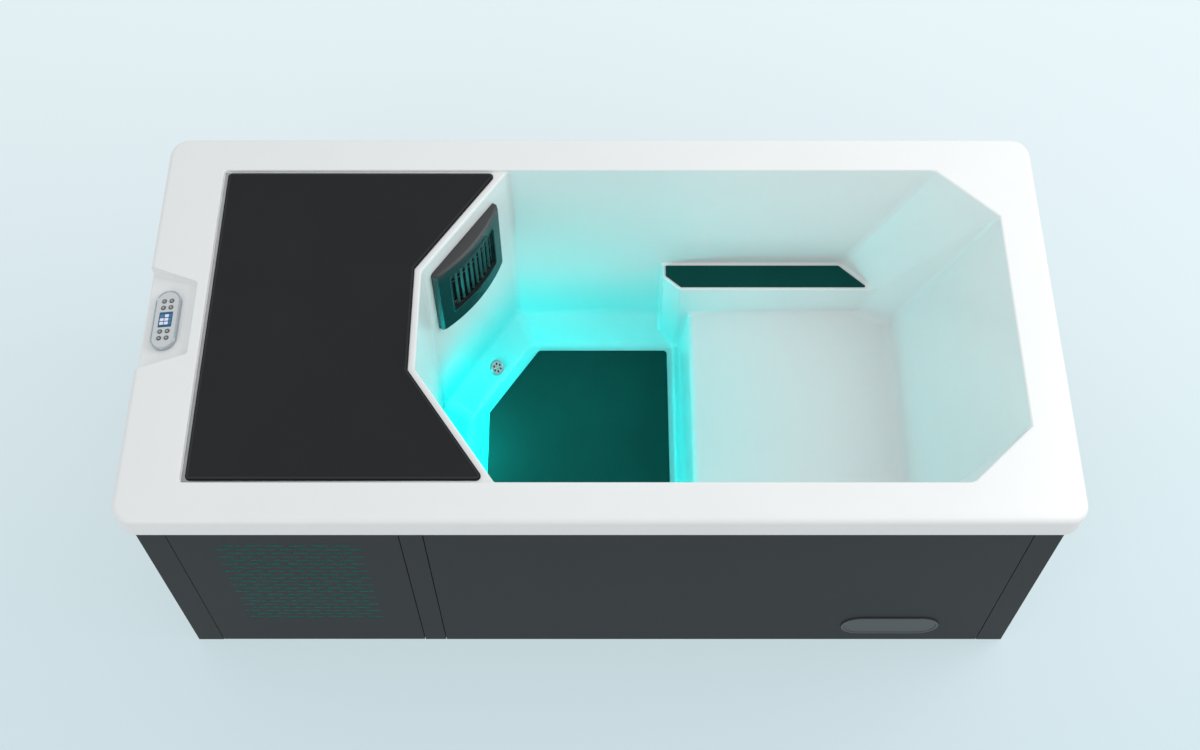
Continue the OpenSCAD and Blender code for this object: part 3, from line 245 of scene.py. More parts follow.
# Turned brass: the tool's rings run across the axis
BRASS = metal("machined_brass", "#C6A664", 0.32, 2, (0.2, 1, 1))
# Chrome plate on plastic: a mirror, a little darker than chrome on metal
RING_CHROME = metal("chrome_plate_dark", "#BCC0C3", 0.1, 6, wear=0.04)
# Rolled aluminium: soft streaks from the mill
ALUMINIUM = metal("mill_aluminium", "#C9CBCD", 0.4, 3, (1, 1, 0.1))
print("metals", [m.name for m in (ZINC, COPPER, BRASS, RING_CHROME, ALUMINIUM)])

# %% [markdown]
# ## Lit and clear finishes
# The display and the light's lens send out light of their own. On the real tub, cyan diodes sit
# behind a ribbed polycarbonate lens, so the lens is drawn as one glowing surface. It is the only
# coloured light, and the white shell carries it round the well, helped by painted cyan light in
# the shell's colour round the lamp.

# %% Lens and display finishes
RIB_MM = 6


def glowing(name, colour, strength, roughness=0.15):
    finish, tree, shader = new_finish(name, Base_Color=linear(colour), Roughness=roughness,
                                      Emission_Color=linear(colour), Emission_Strength=strength)
    place = add_node(tree, "TexCoord").outputs["Object"]
    ribs = add_node(tree, "TexVoronoi", {"Scale": 1000 / RIB_MM}, {"Vector": place})
    bump = add_node(tree, "Bump", {"Distance": 0.4 * MM}, {"Height": ribs.outputs["Distance"]})
    tree.links.new(bump.outputs["Normal"], shader.inputs["Normal"])
    return finish


# Polycarbonate with the diodes behind it: the one strong light of the scene
LENS = glowing("polycarbonate_lens_lit", "#00F8F4", 150.0)
# A liquid crystal display: a dim blue ground, with pale fields that barely glow
DISPLAY = glowing("display_blue", "#17405F", 0.7, 0.2)
DIGITS = glowing("display_segments", "#DDE0F4", 0.12, 0.3)
DIM_DIGITS = glowing("display_segments_dim", "#3A7AA0", 0.12, 0.3)
# Smoked polycarbonate and its rim: smooth, so they take a long soft reflection. The rim is
# drawn paler than the panel, as a painted highlight where its edge catches the light
BADGE = grained("smoked_polycarbonate", "#2B2D2F", 0.32, 20, 0.02, 0.03)
BADGE_RIM_HIGHLIGHT = grained("abs_graphite_painted_highlight", "#4A4D4F", 0.45, 1.6, 0.08, 0.04)
print("lit finishes", LENS.name, DISPLAY.name)

# %% [markdown]
# ## The floor and the studio light
# The tub stands on a plain pale blue floor under soft light. The world lights it evenly, a large
# lamp on the right makes that end of the rim the whitest, and two weak lamps open up the front
# and the back. Lamps stay at a plain level, so that a colour renders about as it is written.
# Seen directly, floor and world are pale blue. To the light that bounces off them they are
# neutral, so they put no blue on the white shell.

# %% Floor, lamps and world
FLOOR_NEAR, FLOOR_FAR, FLOOR_REACH = -1.2, 2.2, 12
OWN_LIGHT = 0.66


def seen_directly(tree):
    path = add_node(tree, "LightPath")
    either = {0: path.outputs["Is Camera Ray"], 1: path.outputs["Is Glossy Ray"]}
    mirrored = add_node(tree, "Math", links=either, operation="MAXIMUM")
    any_of = {0: mirrored.outputs[0], 1: path.outputs["Is Transmission Ray"]}
    return add_node(tree, "Math", links=any_of, operation="MAXIMUM").outputs[0]


def floor_finish():
    finish, tree, shader = new_finish("studio_floor", Roughness=0.95)
    place = add_node(tree, "TexCoord").outputs["Object"]
    depth = add_node(tree, "SeparateXYZ", links={"Vector": place}).outputs["Y"]
    along = add_node(tree, "MapRange", {"From Min": FLOOR_NEAR, "From Max": FLOOR_FAR}, {"Value": depth})
    fade = add_node(tree, "ValToRGB", links={"Fac": along.outputs["Result"]})
    fade.color_ramp.elements[0].color = linear("#D1E5EB")
    fade.color_ramp.elements[1].color = linear("#EDF8FC")
    seen = seen_directly(tree)
    base = add_node(tree, "Mix", data_type="RGBA")
    base.inputs[6].default_value = linear("#DADBDC")
    shaded = add_node(tree, "Mix", {0: 1 - OWN_LIGHT}, data_type="RGBA")
    shaded.inputs[6].default_value = linear("#000000")
    tree.links.new(fade.outputs["Color"], shaded.inputs[7])
    tree.links.new(seen, base.inputs[0])
    tree.links.new(shaded.outputs[2], base.inputs[7])
    tree.links.new(base.outputs[2], shader.inputs["Base Color"])
    lift = add_node(tree, "Math", {1: OWN_LIGHT}, {0: seen}, operation="MULTIPLY")
    tree.links.new(fade.outputs["Color"], shader.inputs["Emission Color"])
    tree.links.new(lift.outputs[0], shader.inputs["Emission Strength"])
    return finish


def soft_lamp(name, place, aim, width, watts, colour="#FFFFFF"):
    lamp_data = bpy.data.lights.new(name, "AREA")
    lamp_data.size = width
    lamp_data.energy = watts
    lamp_data.color = linear(colour)[:3]
    lamp = bpy.data.objects.new(name, lamp_data)
    lamp.location = place
    lamp.rotation_euler = (Vector(place) - Vector(aim)).to_track_quat("Z", "Y").to_euler()
    bpy.context.collection.objects.link(lamp)


floor_mesh = bmesh.new()
bmesh.ops.create_grid(floor_mesh, x_segments=2, y_segments=2, size=FLOOR_REACH)
floor_data = bpy.data.meshes.new("studio_floor")
floor_mesh.to_mesh(floor_data)
floor_data.materials.append(floor_finish())
floor = bpy.data.objects.new("studio_floor", floor_data)
bpy.context.collection.objects.link(floor)
soft_lamp("key_right", (2.6, 0.2, 2.6), (0.4, 0, 0.7), 2.0, 40)
soft_lamp("front_fill", (-2.4, -3.6, 2.4), (0, 0, 0.3), 2.5, 20)
soft_lamp("rear_fill", (0.5, 4.0, 2.2), (0, 0, 0.4), 2.5, 8)
world = bpy.data.worlds.new("studio")
world.use_nodes = True
sky = world.node_tree.nodes["Background"]
sky.inputs["Color"].default_value = linear("#FAFCFD")
sky.inputs["Strength"].default_value = 0.735
backdrop = add_node(world.node_tree, "Background", {"Color": linear("#E3F2F7"), "Strength": 0.97})
layers = {0: seen_directly(world.node_tree), 1: sky.outputs["Background"],
          2: backdrop.outputs["Background"]}
choice = add_node(world.node_tree, "MixShader", links=layers)
world.node_tree.links.new(choice.outputs["Shader"], world.node_tree.nodes["World Output"].inputs["Surface"])
bpy.context.scene.world = world
print("lamps", len(bpy.data.lights))

# %% [markdown]
# ## Helpers for pieces
# A piece starts either from a basic bmesh shape or from a copy of the engineering part. The
# copy is welded and its flat triangles are joined, so that what is left are the real edges,
# and those can be rounded. Mould and tool always leave a small radius, and it is this radius
# that catches the light. Most pieces are drawn by a function that gets an empty bmesh: drawn()
# calls it, moves the result to its place, and makes an object that moves with its body.

# %% Mesh helpers
def welded(node):
    bm = bmesh.new()
    bm.from_mesh(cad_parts[node].data)
    bmesh.ops.remove_doubles(bm, verts=bm.verts, dist=0.02 * MM)
    bmesh.ops.dissolve_limit(bm, angle_limit=math.radians(0.4), verts=bm.verts, edges=bm.edges)
    return bm


def cut_across(bm, place, normal):
    bmesh.ops.bisect_plane(bm, geom=bm.verts[:] + bm.edges[:] + bm.faces[:], dist=0.01 * MM,
                           plane_co=place, plane_no=normal)


def corner_edges(bm, least):
    return [e for e in bm.edges if e.is_manifold and e.calc_face_angle(0) > math.radians(least)]


def rounded(bm, edges, radius_mm, segments=3):
    bmesh.ops.bevel(bm, geom=edges, offset=radius_mm * MM, offset_type="OFFSET", affect="EDGES",
                    segments=segments, profile=0.5, material=-1, clamp_overlap=True)


# The operator can take a small shell far from the origin for its inside, and not in every run
# the same, so the sign of each closed shell's volume has the last word
def face_outward(bm):
    bm.normal_update()
    bmesh.ops.recalc_face_normals(bm, faces=bm.faces)
    seen, inward = set(), []
    for first in bm.faces:
        shell, waiting = [], [first]
        while waiting:
            face = waiting.pop()
            if face not in seen:
                seen.add(face)
                shell.append(face)
                waiting.extend(f for e in face.edges for f in e.link_faces)
        volume = sum(f.calc_area() * f.normal.dot(f.verts[0].co - first.verts[0].co) for f in shell)
        if volume < 0 and all(e.is_manifold for f in shell for e in f.edges):
            inward += shell
    bmesh.ops.reverse_faces(bm, faces=inward)


def turned_towards(bm, outward):
    flat = max(bm.faces, key=lambda f: abs(f.normal.dot(outward)) * f.calc_area())
    if flat.normal.dot(outward) < 0:
        bmesh.ops.reverse_faces(bm, faces=bm.faces)


def finished(name, bm, finishes, body="tub", stands_for=(), slot=None, smooth=30, outward=None):
    data = bpy.data.meshes.new(name)
    face_outward(bm)
    if outward:
        turned_towards(bm, outward)
    bm.to_mesh(data)
    bm.free()
    data.shade_smooth()
    data.set_sharp_from_angle(angle=math.radians(smooth))
    for finish in (finishes if isinstance(finishes, (list, tuple)) else [finishes]):
        data.materials.append(finish)
    piece = bpy.data.objects.new(name, data)
    bpy.context.collection.objects.link(piece)
    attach(piece, body)
    if stands_for:
        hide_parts(*stands_for)
    print(name, len(data.polygons), "faces")
    return piece


def drawn(shape, name, *finish_and_body, place=Matrix(), **settings):
    bm = bmesh.new()
    shape(bm)
    bm.transform(place)
    return finished(name, bm, *finish_and_body, **settings)


def at(x, y, z, degrees=0, axis="Z"):
    return Matrix.Translation((x, y, z)) @ Matrix.Rotation(math.radians(degrees), 4, axis)


# %% [markdown]
# ## The acrylic shell
# The real shell is one acrylic sheet, drawn by vacuum into a mould and backed with resin. The
# engineering model has it in four parts that meet face to face, so their copies are joined and
# the faces where they met are removed. A sheet can't be drawn round a sharp corner: the hollow
# corners of the well have radii of 10 to 24 mm, while the rim's edge round the opening is crisp.
# The engineering model has no radii there. The copy gets them from a Bevel modifier that reads
# one weight per edge, because a single radius everywhere would look wrong.

# %% Join the four parts of the sheet
SHEET_PARTS = ["tub_rim", "footwell_shell", "seat_front_shell", "seat_shell"]
SHEET_CUTS = [(2, 0.696), (0, 0.145), (0, 0.240)]
FLOOR_Z = 60 * MM


def on_cut(item):
    return any(all(abs(v.co[axis] - cut) < 0.05 * MM for v in item.verts) for axis, cut in SHEET_CUTS)


def is_stub(edge):
    on_floor = all(abs(v.co.z - FLOOR_Z) < 1 * MM for v in edge.verts)
    return on_floor and edge.calc_length() < 10 * MM


def one_sheet():
    bm = bmesh.new()
    for node in SHEET_PARTS:
        bm.from_mesh(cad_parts[node].data)
    for axis, cut in SHEET_CUTS:
        normal = Vector((0, 0, 0))
        normal[axis] = 1
        cut_across(bm, normal * cut, normal)
    bmesh.ops.remove_doubles(bm, verts=bm.verts, dist=0.03 * MM)
    bmesh.ops.delete(bm, geom=[f for f in bm.faces if on_cut(f)], context="FACES")
    bmesh.ops.recalc_face_normals(bm, faces=bm.faces)
    bmesh.ops.dissolve_limit(bm, angle_limit=math.radians(0.4), verts=bm.verts, edges=bm.edges)
    stubs = [e for e in bm.edges if e.calc_length() < 0.5 * MM or is_stub(e)]
    bmesh.ops.collapse(bm, edges=stubs)
    for vert in [v for v in bm.verts if abs(v.co.z - SHEET_CUTS[0][1]) < 0.1 * MM]:
        upper = max((e.other_vert(vert) for e in vert.link_edges), key=lambda v: v.co.z)
        bmesh.ops.pointmerge(bm, verts=[vert, upper], merge_co=upper.co)
    open_edges = [e for e in bm.edges if not e.is_manifold]
    print("sheet faces", len(bm.faces), "open edges", len(open_edges))
    return bm


# %% Find the edges that face the user
def sees_the_sky(bm, edges, step=1.5 * MM):
    tree = BVHTree.FromBMesh(bm)
    seen = []
    for edge in edges:
        middle = (edge.verts[0].co + edge.verts[1].co) / 2
        outward = sum((f.normal for f in edge.link_faces), Vector()).normalized()
        if tree.ray_cast(middle + outward * step, Vector((0, 0, 1)))[0] is None:
            seen.append(edge)
    return seen


def is_hollow(edge):
    return not edge.is_convex


shell = one_sheet()
weight = shell.edges.layers.float.new("bevel_weight_edge")
visible = sees_the_sky(shell, corner_edges(shell, 12))
print("shell edges", len(shell.edges), "visible", len(visible), "hollow", sum(map(is_hollow, visible)))

# %% Round the shell's edges by weight
BASIN_RADIUS, WELL_RADIUS, MIXED_RADIUS = 24 * MM, 16 * MM, 10 * MM
STEP_CORNER, STEP_RADIUS = 9 * MM, 2 * MM
SEAT_EDGE, LEDGE_EDGE = 14 * MM, 4 * MM
DECK_Z, LEDGE_Z, SEAT_Z = cad_box[1][2] - 40 * MM, 348 * MM, 243 * MM
BASIN_X = 0.22


def radius_of(edge):
    low, high = sorted(v.co.z for v in edge.verts)
    if not is_hollow(edge):
        return SEAT_EDGE if high < SEAT_Z else LEDGE_EDGE
    if low > DECK_Z:
        return STEP_CORNER if high - low > 5 * MM else STEP_RADIUS
    in_basin = min(v.co.x for v in edge.verts) > BASIN_X and high < LEDGE_Z
    return BASIN_RADIUS if in_basin else WELL_RADIUS


def room_for(edge, chosen, share=0.45):
    near = [e for v in edge.verts for e in v.link_edges if e is not edge and e in chosen]
    room = min([share * e.calc_length() for e in near], default=BASIN_RADIUS)
    mixed = is_hollow(edge) and any(e.is_convex for e in near)
    return min(room, MIXED_RADIUS) if mixed else room


chosen = set(visible)
for edge in visible:
    edge[weight] = min(radius_of(edge), room_for(edge, chosen)) / BASIN_RADIUS
shell_piece = finished("shell", shell, ACRYLIC, stands_for=SHEET_PARTS, slot="shell")
soft_edge = shell_piece.modifiers.new("edge_radii", "BEVEL")
soft_edge.limit_method = "WEIGHT"
soft_edge.width = BASIN_RADIUS
soft_edge.segments = 5
soft_edge.use_clamp_overlap = False
soft_edge.harden_normals = True

# %% [markdown]
# ## Foam pads
# The deck, the footwell and both armrests carry sheets of closed-cell foam, cut by a router and
# stuck down. The router leaves a sloping edge, and a second pass cuts a shallow border inside
# it. Each sheet here starts from the underside of its engineering part, which has the right
# outline, is extruded to its thickness, and is then inset for the slope. Deck and footwell are
# inset once more for the border. An inset follows any outline, so one function serves all four.

# %% Sheet helpers
def is_vert(item):
    return isinstance(item, bmesh.types.BMVert)


def thickened(bm, height_mm):
    grown = bmesh.ops.extrude_face_region(bm, geom=bm.faces[:], use_keep_orig=True)["geom"]
    bmesh.ops.translate(bm, verts=[v for v in grown if is_vert(v)], vec=(0, 0, height_mm * MM))
    bmesh.ops.recalc_face_normals(bm, faces=bm.faces)
    return [f for f in grown if isinstance(f, bmesh.types.BMFace)]


def inset(bm, faces, width_mm, rise_mm=0.0, finish_index=0):
    made = bmesh.ops.inset_region(bm, faces=faces, thickness=width_mm * MM, depth=rise_mm * MM,
                                  use_even_offset=True)
    for face in made["faces"]:
        face.material_index = finish_index


def foam_sheet(name, node, finishes, slot, thickness, slope, border=0, dip=0):
    bm = welded(node)
    floor_z = min(v.co.z for v in bm.verts)
    base = [f for f in bm.faces if all(v.co.z < floor_z + 0.1 * MM for v in f.verts)]
    bmesh.ops.delete(bm, geom=[f for f in bm.faces if f not in base], context="FACES")
    top = thickened(bm, thickness - slope)
    # The slope takes the second finish and the border the last: on the deck these carry painted shade and a
    # painted highlight
    inset(bm, top, 1.2 * slope, slope, min(1, len(finishes) - 1))
    if border:
        inset(bm, top, border, 0, len(finishes) - 1)
        inset(bm, top, 2 * dip, -dip)
    return finished(name, bm, finishes, stands_for=[node], slot=slot)


foam_sheet("deck_sheet", "deck_pad", [DECK_FOAM, DECK_SLOPE_SHADE, DECK_BORDER_HIGHLIGHT], "pad", 6, 2, 4.0, 0.8)
foam_sheet("footwell_sheet", "footwell_mat", [MAT_FOAM], "mat", 5, 1.2, 4, 0.5)
foam_sheet("rear_armrest_sheet", "rear_armrest_pad", [MAT_FOAM], "mat", 5, 1.3)
foam_sheet("front_armrest_sheet", "front_armrest_pad", [MAT_FOAM], "mat", 5, 1.3)

# %% [markdown]
# ## Parts with broken edges
# Many parts have their final shape in the engineering model already, apart from the small
# radius that a mould, a saw or a press leaves on each edge. A copy with a Bevel modifier gets
# it. The modifier works by angle, so flat and round faces stay as they are, and its hardened
# normals keep the flats flat in the light.

# %% Softened copies
def edge_radius(piece, radius_mm, segments=2, least=30):
    soft = piece.modifiers.new("edge_radius", "BEVEL")
    soft.width = radius_mm * MM
    soft.segments = segments
    soft.limit_method = "ANGLE"
    soft.angle_limit = math.radians(least)
    soft.harden_normals = True
    return piece


def softened(name, node, finish, radius_mm, slot, body="tub", segments=2):
    return edge_radius(finished(name, welded(node), finish, body, [node], slot), radius_mm, segments)


# %% [markdown]
# ## The keypad
# A pill-shaped keypad sits in a notch of the rim, where a bather can reach it from outside.
# Its plated ring is a mirror, its face is silver lacquer, and eight small keys and a display
# break the face. The face is a softened copy, because it already has the wells for the keys.
# Everything else is drawn lying flat round the origin and is then moved by one matrix on to
# the sloping floor of the notch.

# %% Keypad face and plated ring
KEYPAD = at(-0.950, 0, 0.710407, -8.427, "Y")
KEYPAD_LENGTH, KEYPAD_WIDTH, RING_WIDTH = 150, 58, 2.9


def pill(bm, length_mm, width_mm, steps=96):
    spin = Matrix.Rotation(math.pi / steps, 4, "Z")
    bmesh.ops.create_circle(bm, cap_ends=True, segments=steps, radius=width_mm / 2 * MM, matrix=spin)
    for vert in bm.verts:
        vert.co.y += math.copysign((length_mm - width_mm) / 2 * MM, vert.co.y)


def top_edges(bm, faces):
    inner = set(faces)
    return [e for e in bm.edges if len([f for f in e.link_faces if f in inner]) == 1]


def keypad_ring(bm):
    pill(bm, KEYPAD_LENGTH, KEYPAD_WIDTH)
    inside = bm.faces[:]
    bmesh.ops.inset_region(bm, faces=inside, thickness=RING_WIDTH * MM, use_boundary=True,
                           use_even_offset=True)
    bmesh.ops.delete(bm, geom=inside, context="FACES")
    top = thickened(bm, 11)
    rounded(bm, top_edges(bm, top), 1.1, 4)


softened("keypad_face", "keypad_housing", KEYPAD_ABS, 0.5, "keypad", segments=3)
drawn(keypad_ring, "keypad_ring", RING_CHROME, stands_for=["keypad_bezel"], slot="chrome", smooth=40,
      place=KEYPAD)

# %% Display with its lit fields
def rounded_rectangle(bm, width_mm, length_mm, place, corner_mm, segments=4):
    size = Matrix.Diagonal((width_mm * MM, length_mm * MM, 1, 1))
    corners = bmesh.ops.create_grid(bm, x_segments=1, y_segments=1, size=0.5, matrix=place @ size)["verts"]
    bmesh.ops.bevel(bm, geom=corners, offset=corner_mm * MM, offset_type="OFFSET", affect="VERTICES",
                    segments=segments, profile=0.5, material=-1, clamp_overlap=True)


def display(bm):
    rounded_rectangle(bm, 30, 38, at(0, 0, 8 * MM), 1.5)
    rounded(bm, top_edges(bm, thickened(bm, 2)), 0.3, 2)


def display_fields(bm):
    wide, narrow, row, left, middle, right = 9.0, 4.2, 9.4, -8.2, 2.4, 10.8
    for step in (-1, 0, 1):
        for x_mm, width_mm in ((left, wide), (middle, wide), (right, narrow)):
            rounded_rectangle(bm, width_mm, 7.2, at(x_mm * MM, step * row * MM, 10 * MM), 0.8)
    thickened(bm, 0.12)
    bright = [(left, -row), (middle, -row), (left, 0), (middle, 0), (middle, row)]
    for face in bm.faces:
        spot = face.calc_center_median() / MM
        near = min(math.hypot(spot.x - x, spot.y - y) for x, y in bright)
        face.material_index = 0 if near < wide / 2 + 0.5 and abs(spot.x - right) > 3 else 1


drawn(display, "display_glass", DISPLAY, stands_for=["keypad_screen"], slot="screen", place=KEYPAD)
drawn(display_fields, "display_fields", [DIGITS, DIM_DIGITS], slot="screen", place=KEYPAD)

# %% Eight keys, each on its own body
# Painted shade: the dark gap round each key, drawn as a darker ring on its cap
KEY_GAP_SHADE = grained("key_gap_painted_shade", "#5B5F62", 0.4, 1.2, 0.03, 0.03)


def key_cap(number, x_mm, y_mm):
    bm = bmesh.new()
    bmesh.ops.create_circle(bm, cap_ends=True, segments=40, radius=5.25 * MM)
    top = thickened(bm, 6.1)
    rounded(bm, top_edges(bm, top), 0.5, 3)
    crown = [max(bm.faces, key=lambda f: (round(f.calc_center_median().z, 5), f.calc_area()))]
    bmesh.ops.inset_region(bm, faces=crown, thickness=1.5 * MM, use_even_offset=True)
    bmesh.ops.inset_region(bm, faces=crown, thickness=0.7 * MM, depth=-0.35 * MM, use_even_offset=True)
    crown[0].material_index = 1
    bm.transform(KEYPAD @ at(x_mm * MM, y_mm * MM, 5.1 * MM))
    finished(f"key_cap_{number}", bm, [KEY_GAP_SHADE, KEY_ABS], f"key_{number}", [f"button_{number}"], "button")


KEY_SPOTS = [(side * 8.5, end * first) for end in (1, -1) for first in (30.5, 47.5) for side in (-1, 1)]
for number, (x_mm, y_mm) in enumerate(KEY_SPOTS, start=1):
    key_cap(number, x_mm, y_mm)

# %% [markdown]
# ## The filter cover
# Water leaves the well through a bowed ABS cover on the angled wall. It is a shell about 4 mm
# thick: a front sheet with a broad chamfer and a skirt that reaches back to the wall. Four
# rounded rectangles are drawn flat, one for the window, one for each end of the chamfer and
# one for the foot of the skirt. Bridging them gives the sheet, slicing it upright gives it
# enough edges to bend, and a Solidify modifier gives it its wall.

# %% Frame of the angled wall and the bow of the cover
REAR_WALL = Matrix.Translation((-0.307, 0.263, 0)) @ Matrix.Rotation(math.atan2(274, 182), 4, "Z")
COVER_PLACE = REAR_WALL @ at(-16 * MM, 0, 0)
INTO_WELL = COVER_PLACE.to_3x3() @ Vector((0, -1, 0))
# Width, height and middle height of the cover and of its window
COVER, WINDOW = (244, 233, 556.5), (168, 146, 563)
COVER_DEPTH, COVER_CROWN = 33 * MM, 19 * MM
BOW = ((COVER[0] / 2 * MM) ** 2 + COVER_CROWN ** 2) / (2 * COVER_CROWN)


def upright_outline(bm, form, grow_mm, corner_mm, depth_mm=0.0):
    width_mm, height_mm, middle_mm = form
    place = at(0, depth_mm * MM, middle_mm * MM, 90, "X")
    rounded_rectangle(bm, width_mm + grow_mm, height_mm + grow_mm, place, corner_mm, 6)


def bridged(bm):
    faces = sorted(bm.faces, key=lambda f: (f.calc_center_median().y, f.calc_area()))
    loops = [list(f.edges) for f in faces]
    bmesh.ops.delete(bm, geom=faces, context="FACES_ONLY")
    for one, other in zip(loops, loops[1:]):
        bmesh.ops.bridge_loops(bm, edges=one + other)


def sliced(bm, reach_mm=118, step_mm=6):
    for x_mm in range(-reach_mm, reach_mm + 1, step_mm):
        cut_across(bm, (x_mm * MM, 0, 0), (1, 0, 0))


def sag_at(x):
    return BOW - math.sqrt(BOW ** 2 - x ** 2)


def bowed(bm, behind_mm=0.0):
    for vert in bm.verts:
        vert.co.y += behind_mm * MM - COVER_DEPTH + sag_at(vert.co.x)


print("bow radius", round(BOW, 4))

# %% Cover shell
FAR_BACK = 800


def open_sheet(name, bm, finish, wall_mm, slot, stands_for=()):
    bm.transform(COVER_PLACE)
    piece = finished(name, bm, finish, "filter_unit", stands_for, slot, outward=INTO_WELL)
    wall = piece.modifiers.new("wall", "SOLIDIFY")
    wall.thickness = wall_mm * MM
    wall.offset = -1
    wall.use_even_offset = True
    return piece


def filter_cover():
    bm = bmesh.new()
    upright_outline(bm, WINDOW, 0, 9, -0.2)
    upright_outline(bm, COVER, -10, 5, -0.1)
    upright_outline(bm, COVER, 0, 7, 5)
    upright_outline(bm, COVER, 0, 7, FAR_BACK)
    bridged(bm)
    sliced(bm)
    foot = [v for v in bm.verts if v.co.y > FAR_BACK / 2 * MM]
    bowed(bm)
    for vert in foot:
        vert.co.y = -0.3 * MM
    return open_sheet("filter_cover_shell", bm, COVER_ABS, 3.8, "filter_plastic", ["filter_cover"])


edge_radius(filter_cover(), 0.8, 2, 25)

# %% Latches over and under the window, and the cradle behind
def bar(bm, size_mm, middle_mm, bevel_mm, place=Matrix()):
    size = Matrix.Diagonal([c * MM for c in size_mm] + [1])
    form = Matrix.Translation([c * MM for c in middle_mm]) @ size
    made = bmesh.ops.create_cube(bm, size=1.0, matrix=place @ form)["verts"]
    edges = list({e for v in made for e in v.link_edges})
    rounded(bm, edges, bevel_mm, 2)


def cover_latches(bm):
    bar(bm, (96, 3.2, 3.0), (0, -0.6, 647), 1.2)
    bar(bm, (17, 5.0, 8.0), (0, -1.0, 643.5), 1.6)
    bar(bm, (17, 4.0, 6.0), (0, -0.6, 485.5), 1.4)
    sliced(bm, reach_mm=48)
    bowed(bm)


def cradle(bm):
    for z_mm in (471, 642):
        bar(bm, (60, 98, 2.9), (0, 19.5, z_mm), 0.8)
    bar(bm, (52, 3, 8), (0, 66, 476.3), 0.8)


drawn(cover_latches, "filter_cover_latches", COVER_ABS, "filter_unit", slot="filter_plastic",
      place=COVER_PLACE)
drawn(cradle, "filter_cradle", COVER_ABS, "filter_unit", slot="filter_plastic", place=COVER_PLACE)

# %% [markdown]
# ## The grille and the cartridge
# Behind the window sits a black grille with upright louvres, set at an angle so that the eye
# meets plastic and not the paper behind. The frame is drawn like the cover, from two rounded
# rectangles. The cartridge behind it is pleated paper between two moulded caps, and the
# engineering part has every pleat, so a welded copy with two finishes is enough.

# %% Grille
# Painted cyan light: the bars catch the cyan light on their sides, so they are drawn a teal black
LOUVRE_PAINTED_CYAN = grained("abs_black_painted_cyan", "#2F5F5E", 0.45, 1.6, 0.08, 0.05)
# Woven screen cloth: fine, and drawn near black as painted shade behind the louvres, so that it swallows
# what is behind it
SCREEN_CLOTH_SHADE = grained("screen_cloth_painted_shade", "#070808", 0.8, 1.2, 0.2, 0.1, Specular_IOR_Level=0.2)
LOUVRE_BACK = 24 * MM


def bowed_sheet(outlines, reach_mm, behind_mm):
    bm = bmesh.new()
    for outline in outlines:
        upright_outline(bm, WINDOW, *outline)
    if len(outlines) > 1:
        bridged(bm)
    sliced(bm, reach_mm=reach_mm)
    bowed(bm, behind_mm)
    return bm


def grille_louvres(bm, count=9, pitch_mm=156 / 9, lean=38):
    for z_mm in (596, 612):
        bar(bm, (168, 1.6, 1.6), (0, 0, z_mm), 0.5)
    sliced(bm, reach_mm=84)
    bowed(bm, 9)
    for i in range(count + 1):
        x = (i - count / 2) * pitch_mm * MM
        bar(bm, (2.0, 6.8, 135), (0, 0, WINDOW[2]), 0.6, at(x, sag_at(x) - LOUVRE_BACK, 0, lean))


grille = bowed_sheet([(-12, 6, -0.1), (5, 9)], 84, 4.5)
edge_radius(open_sheet("grille_frame", grille, GRILLE_ABS, 4.4, "grille", ["filter_grille"]), 0.6)
drawn(grille_louvres, "grille_louvres", LOUVRE_PAINTED_CYAN, "filter_unit", slot="grille", place=COVER_PLACE)
open_sheet("debris_screen", bowed_sheet([(-8, 6)], 78, 20), SCREEN_CLOTH_SHADE, 0.6, "grille")
open_sheet("window_lip", bowed_sheet([(-1, 9), (7, 12, 0.01)], 84, -0.9), COVER_ABS, 1.6, "filter_plastic")

# %% Cartridge
CAP_HEIGHT = 8.2 * MM
# Pleated paper: matt and fibrous
PAPER = grained("pleated_filter_paper", "#E6E4DC", 0.85, 2.0, 0.15, 0.05)
# Cast urethane: smooth and rubbery
CAP = grained("urethane_cap_blue", "#3F5F78", 0.5, 3.0, 0.1, 0.04)
cartridge = finished("filter_cartridge_pleats", welded("filter_cartridge"), [PAPER, CAP], "filter_unit",
                     ["filter_cartridge"], "filter_paper")
low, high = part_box("filter_cartridge")
for face in cartridge.data.polygons:
    if face.center.z < low.z + CAP_HEIGHT or face.center.z > high.z - CAP_HEIGHT:
        face.material_index = 1

# %% [markdown]
# ## The return fitting and the light
# Filtered water comes back through a small round fitting on the sloped band, with six jets
# round a hub. The light's domed lens sits in the end wall of the nose, under the deck, where the
# camera sees its glow and not the lens. Both are turned parts, so each starts as half a profile
# that is spun round its own axis.

# %% Turned shapes
def spun(bm, geom, steps):
    bmesh.ops.spin(bm, geom=geom, cent=(0, 0, 0), axis=(0, 0, 1), angle=math.tau, steps=steps,
                   use_merge=True, use_duplicate=False)


def turned(bm, profile_mm, steps=64):
    verts = [bm.verts.new((r * MM, 0, z * MM)) for r, z in profile_mm]
    edges = [bm.edges.new(pair) for pair in zip(verts, verts[1:])]
    spun(bm, verts + edges, steps)
    bmesh.ops.remove_doubles(bm, verts=bm.verts, dist=0.005 * MM)
    bmesh.ops.recalc_face_normals(bm, faces=bm.faces)


FITTING_PLACE = REAR_WALL @ at(8 * MM, -40 * MM, 87 * MM, 45, "X")
LIGHT_PLACE = at(-0.398, 0, 0.190, 90, "Y")

# %% Fitting and lens
# Satin chrome: brushed before it was plated, so its reflections are soft
SATIN = metal("satin_chrome", "#C9CDCF", 0.26, 4, wear=0.05)
# Painted cyan light: the fitting's chrome has a teal cast in its colour, and is darker than the bezel's
FITTING_CHROME_CYAN = metal("satin_chrome_painted_cyan", "#A9B7B8", 0.3, 4, wear=0.05)
# Inside a jet there is only shade and the colour of the water light
JET_BORE = grained("jet_bore_teal_black", "#0A2B2A", 0.6, 1.4, 0.05, 0.05)
JET_REACH, JET_TOP = 14, 2.4


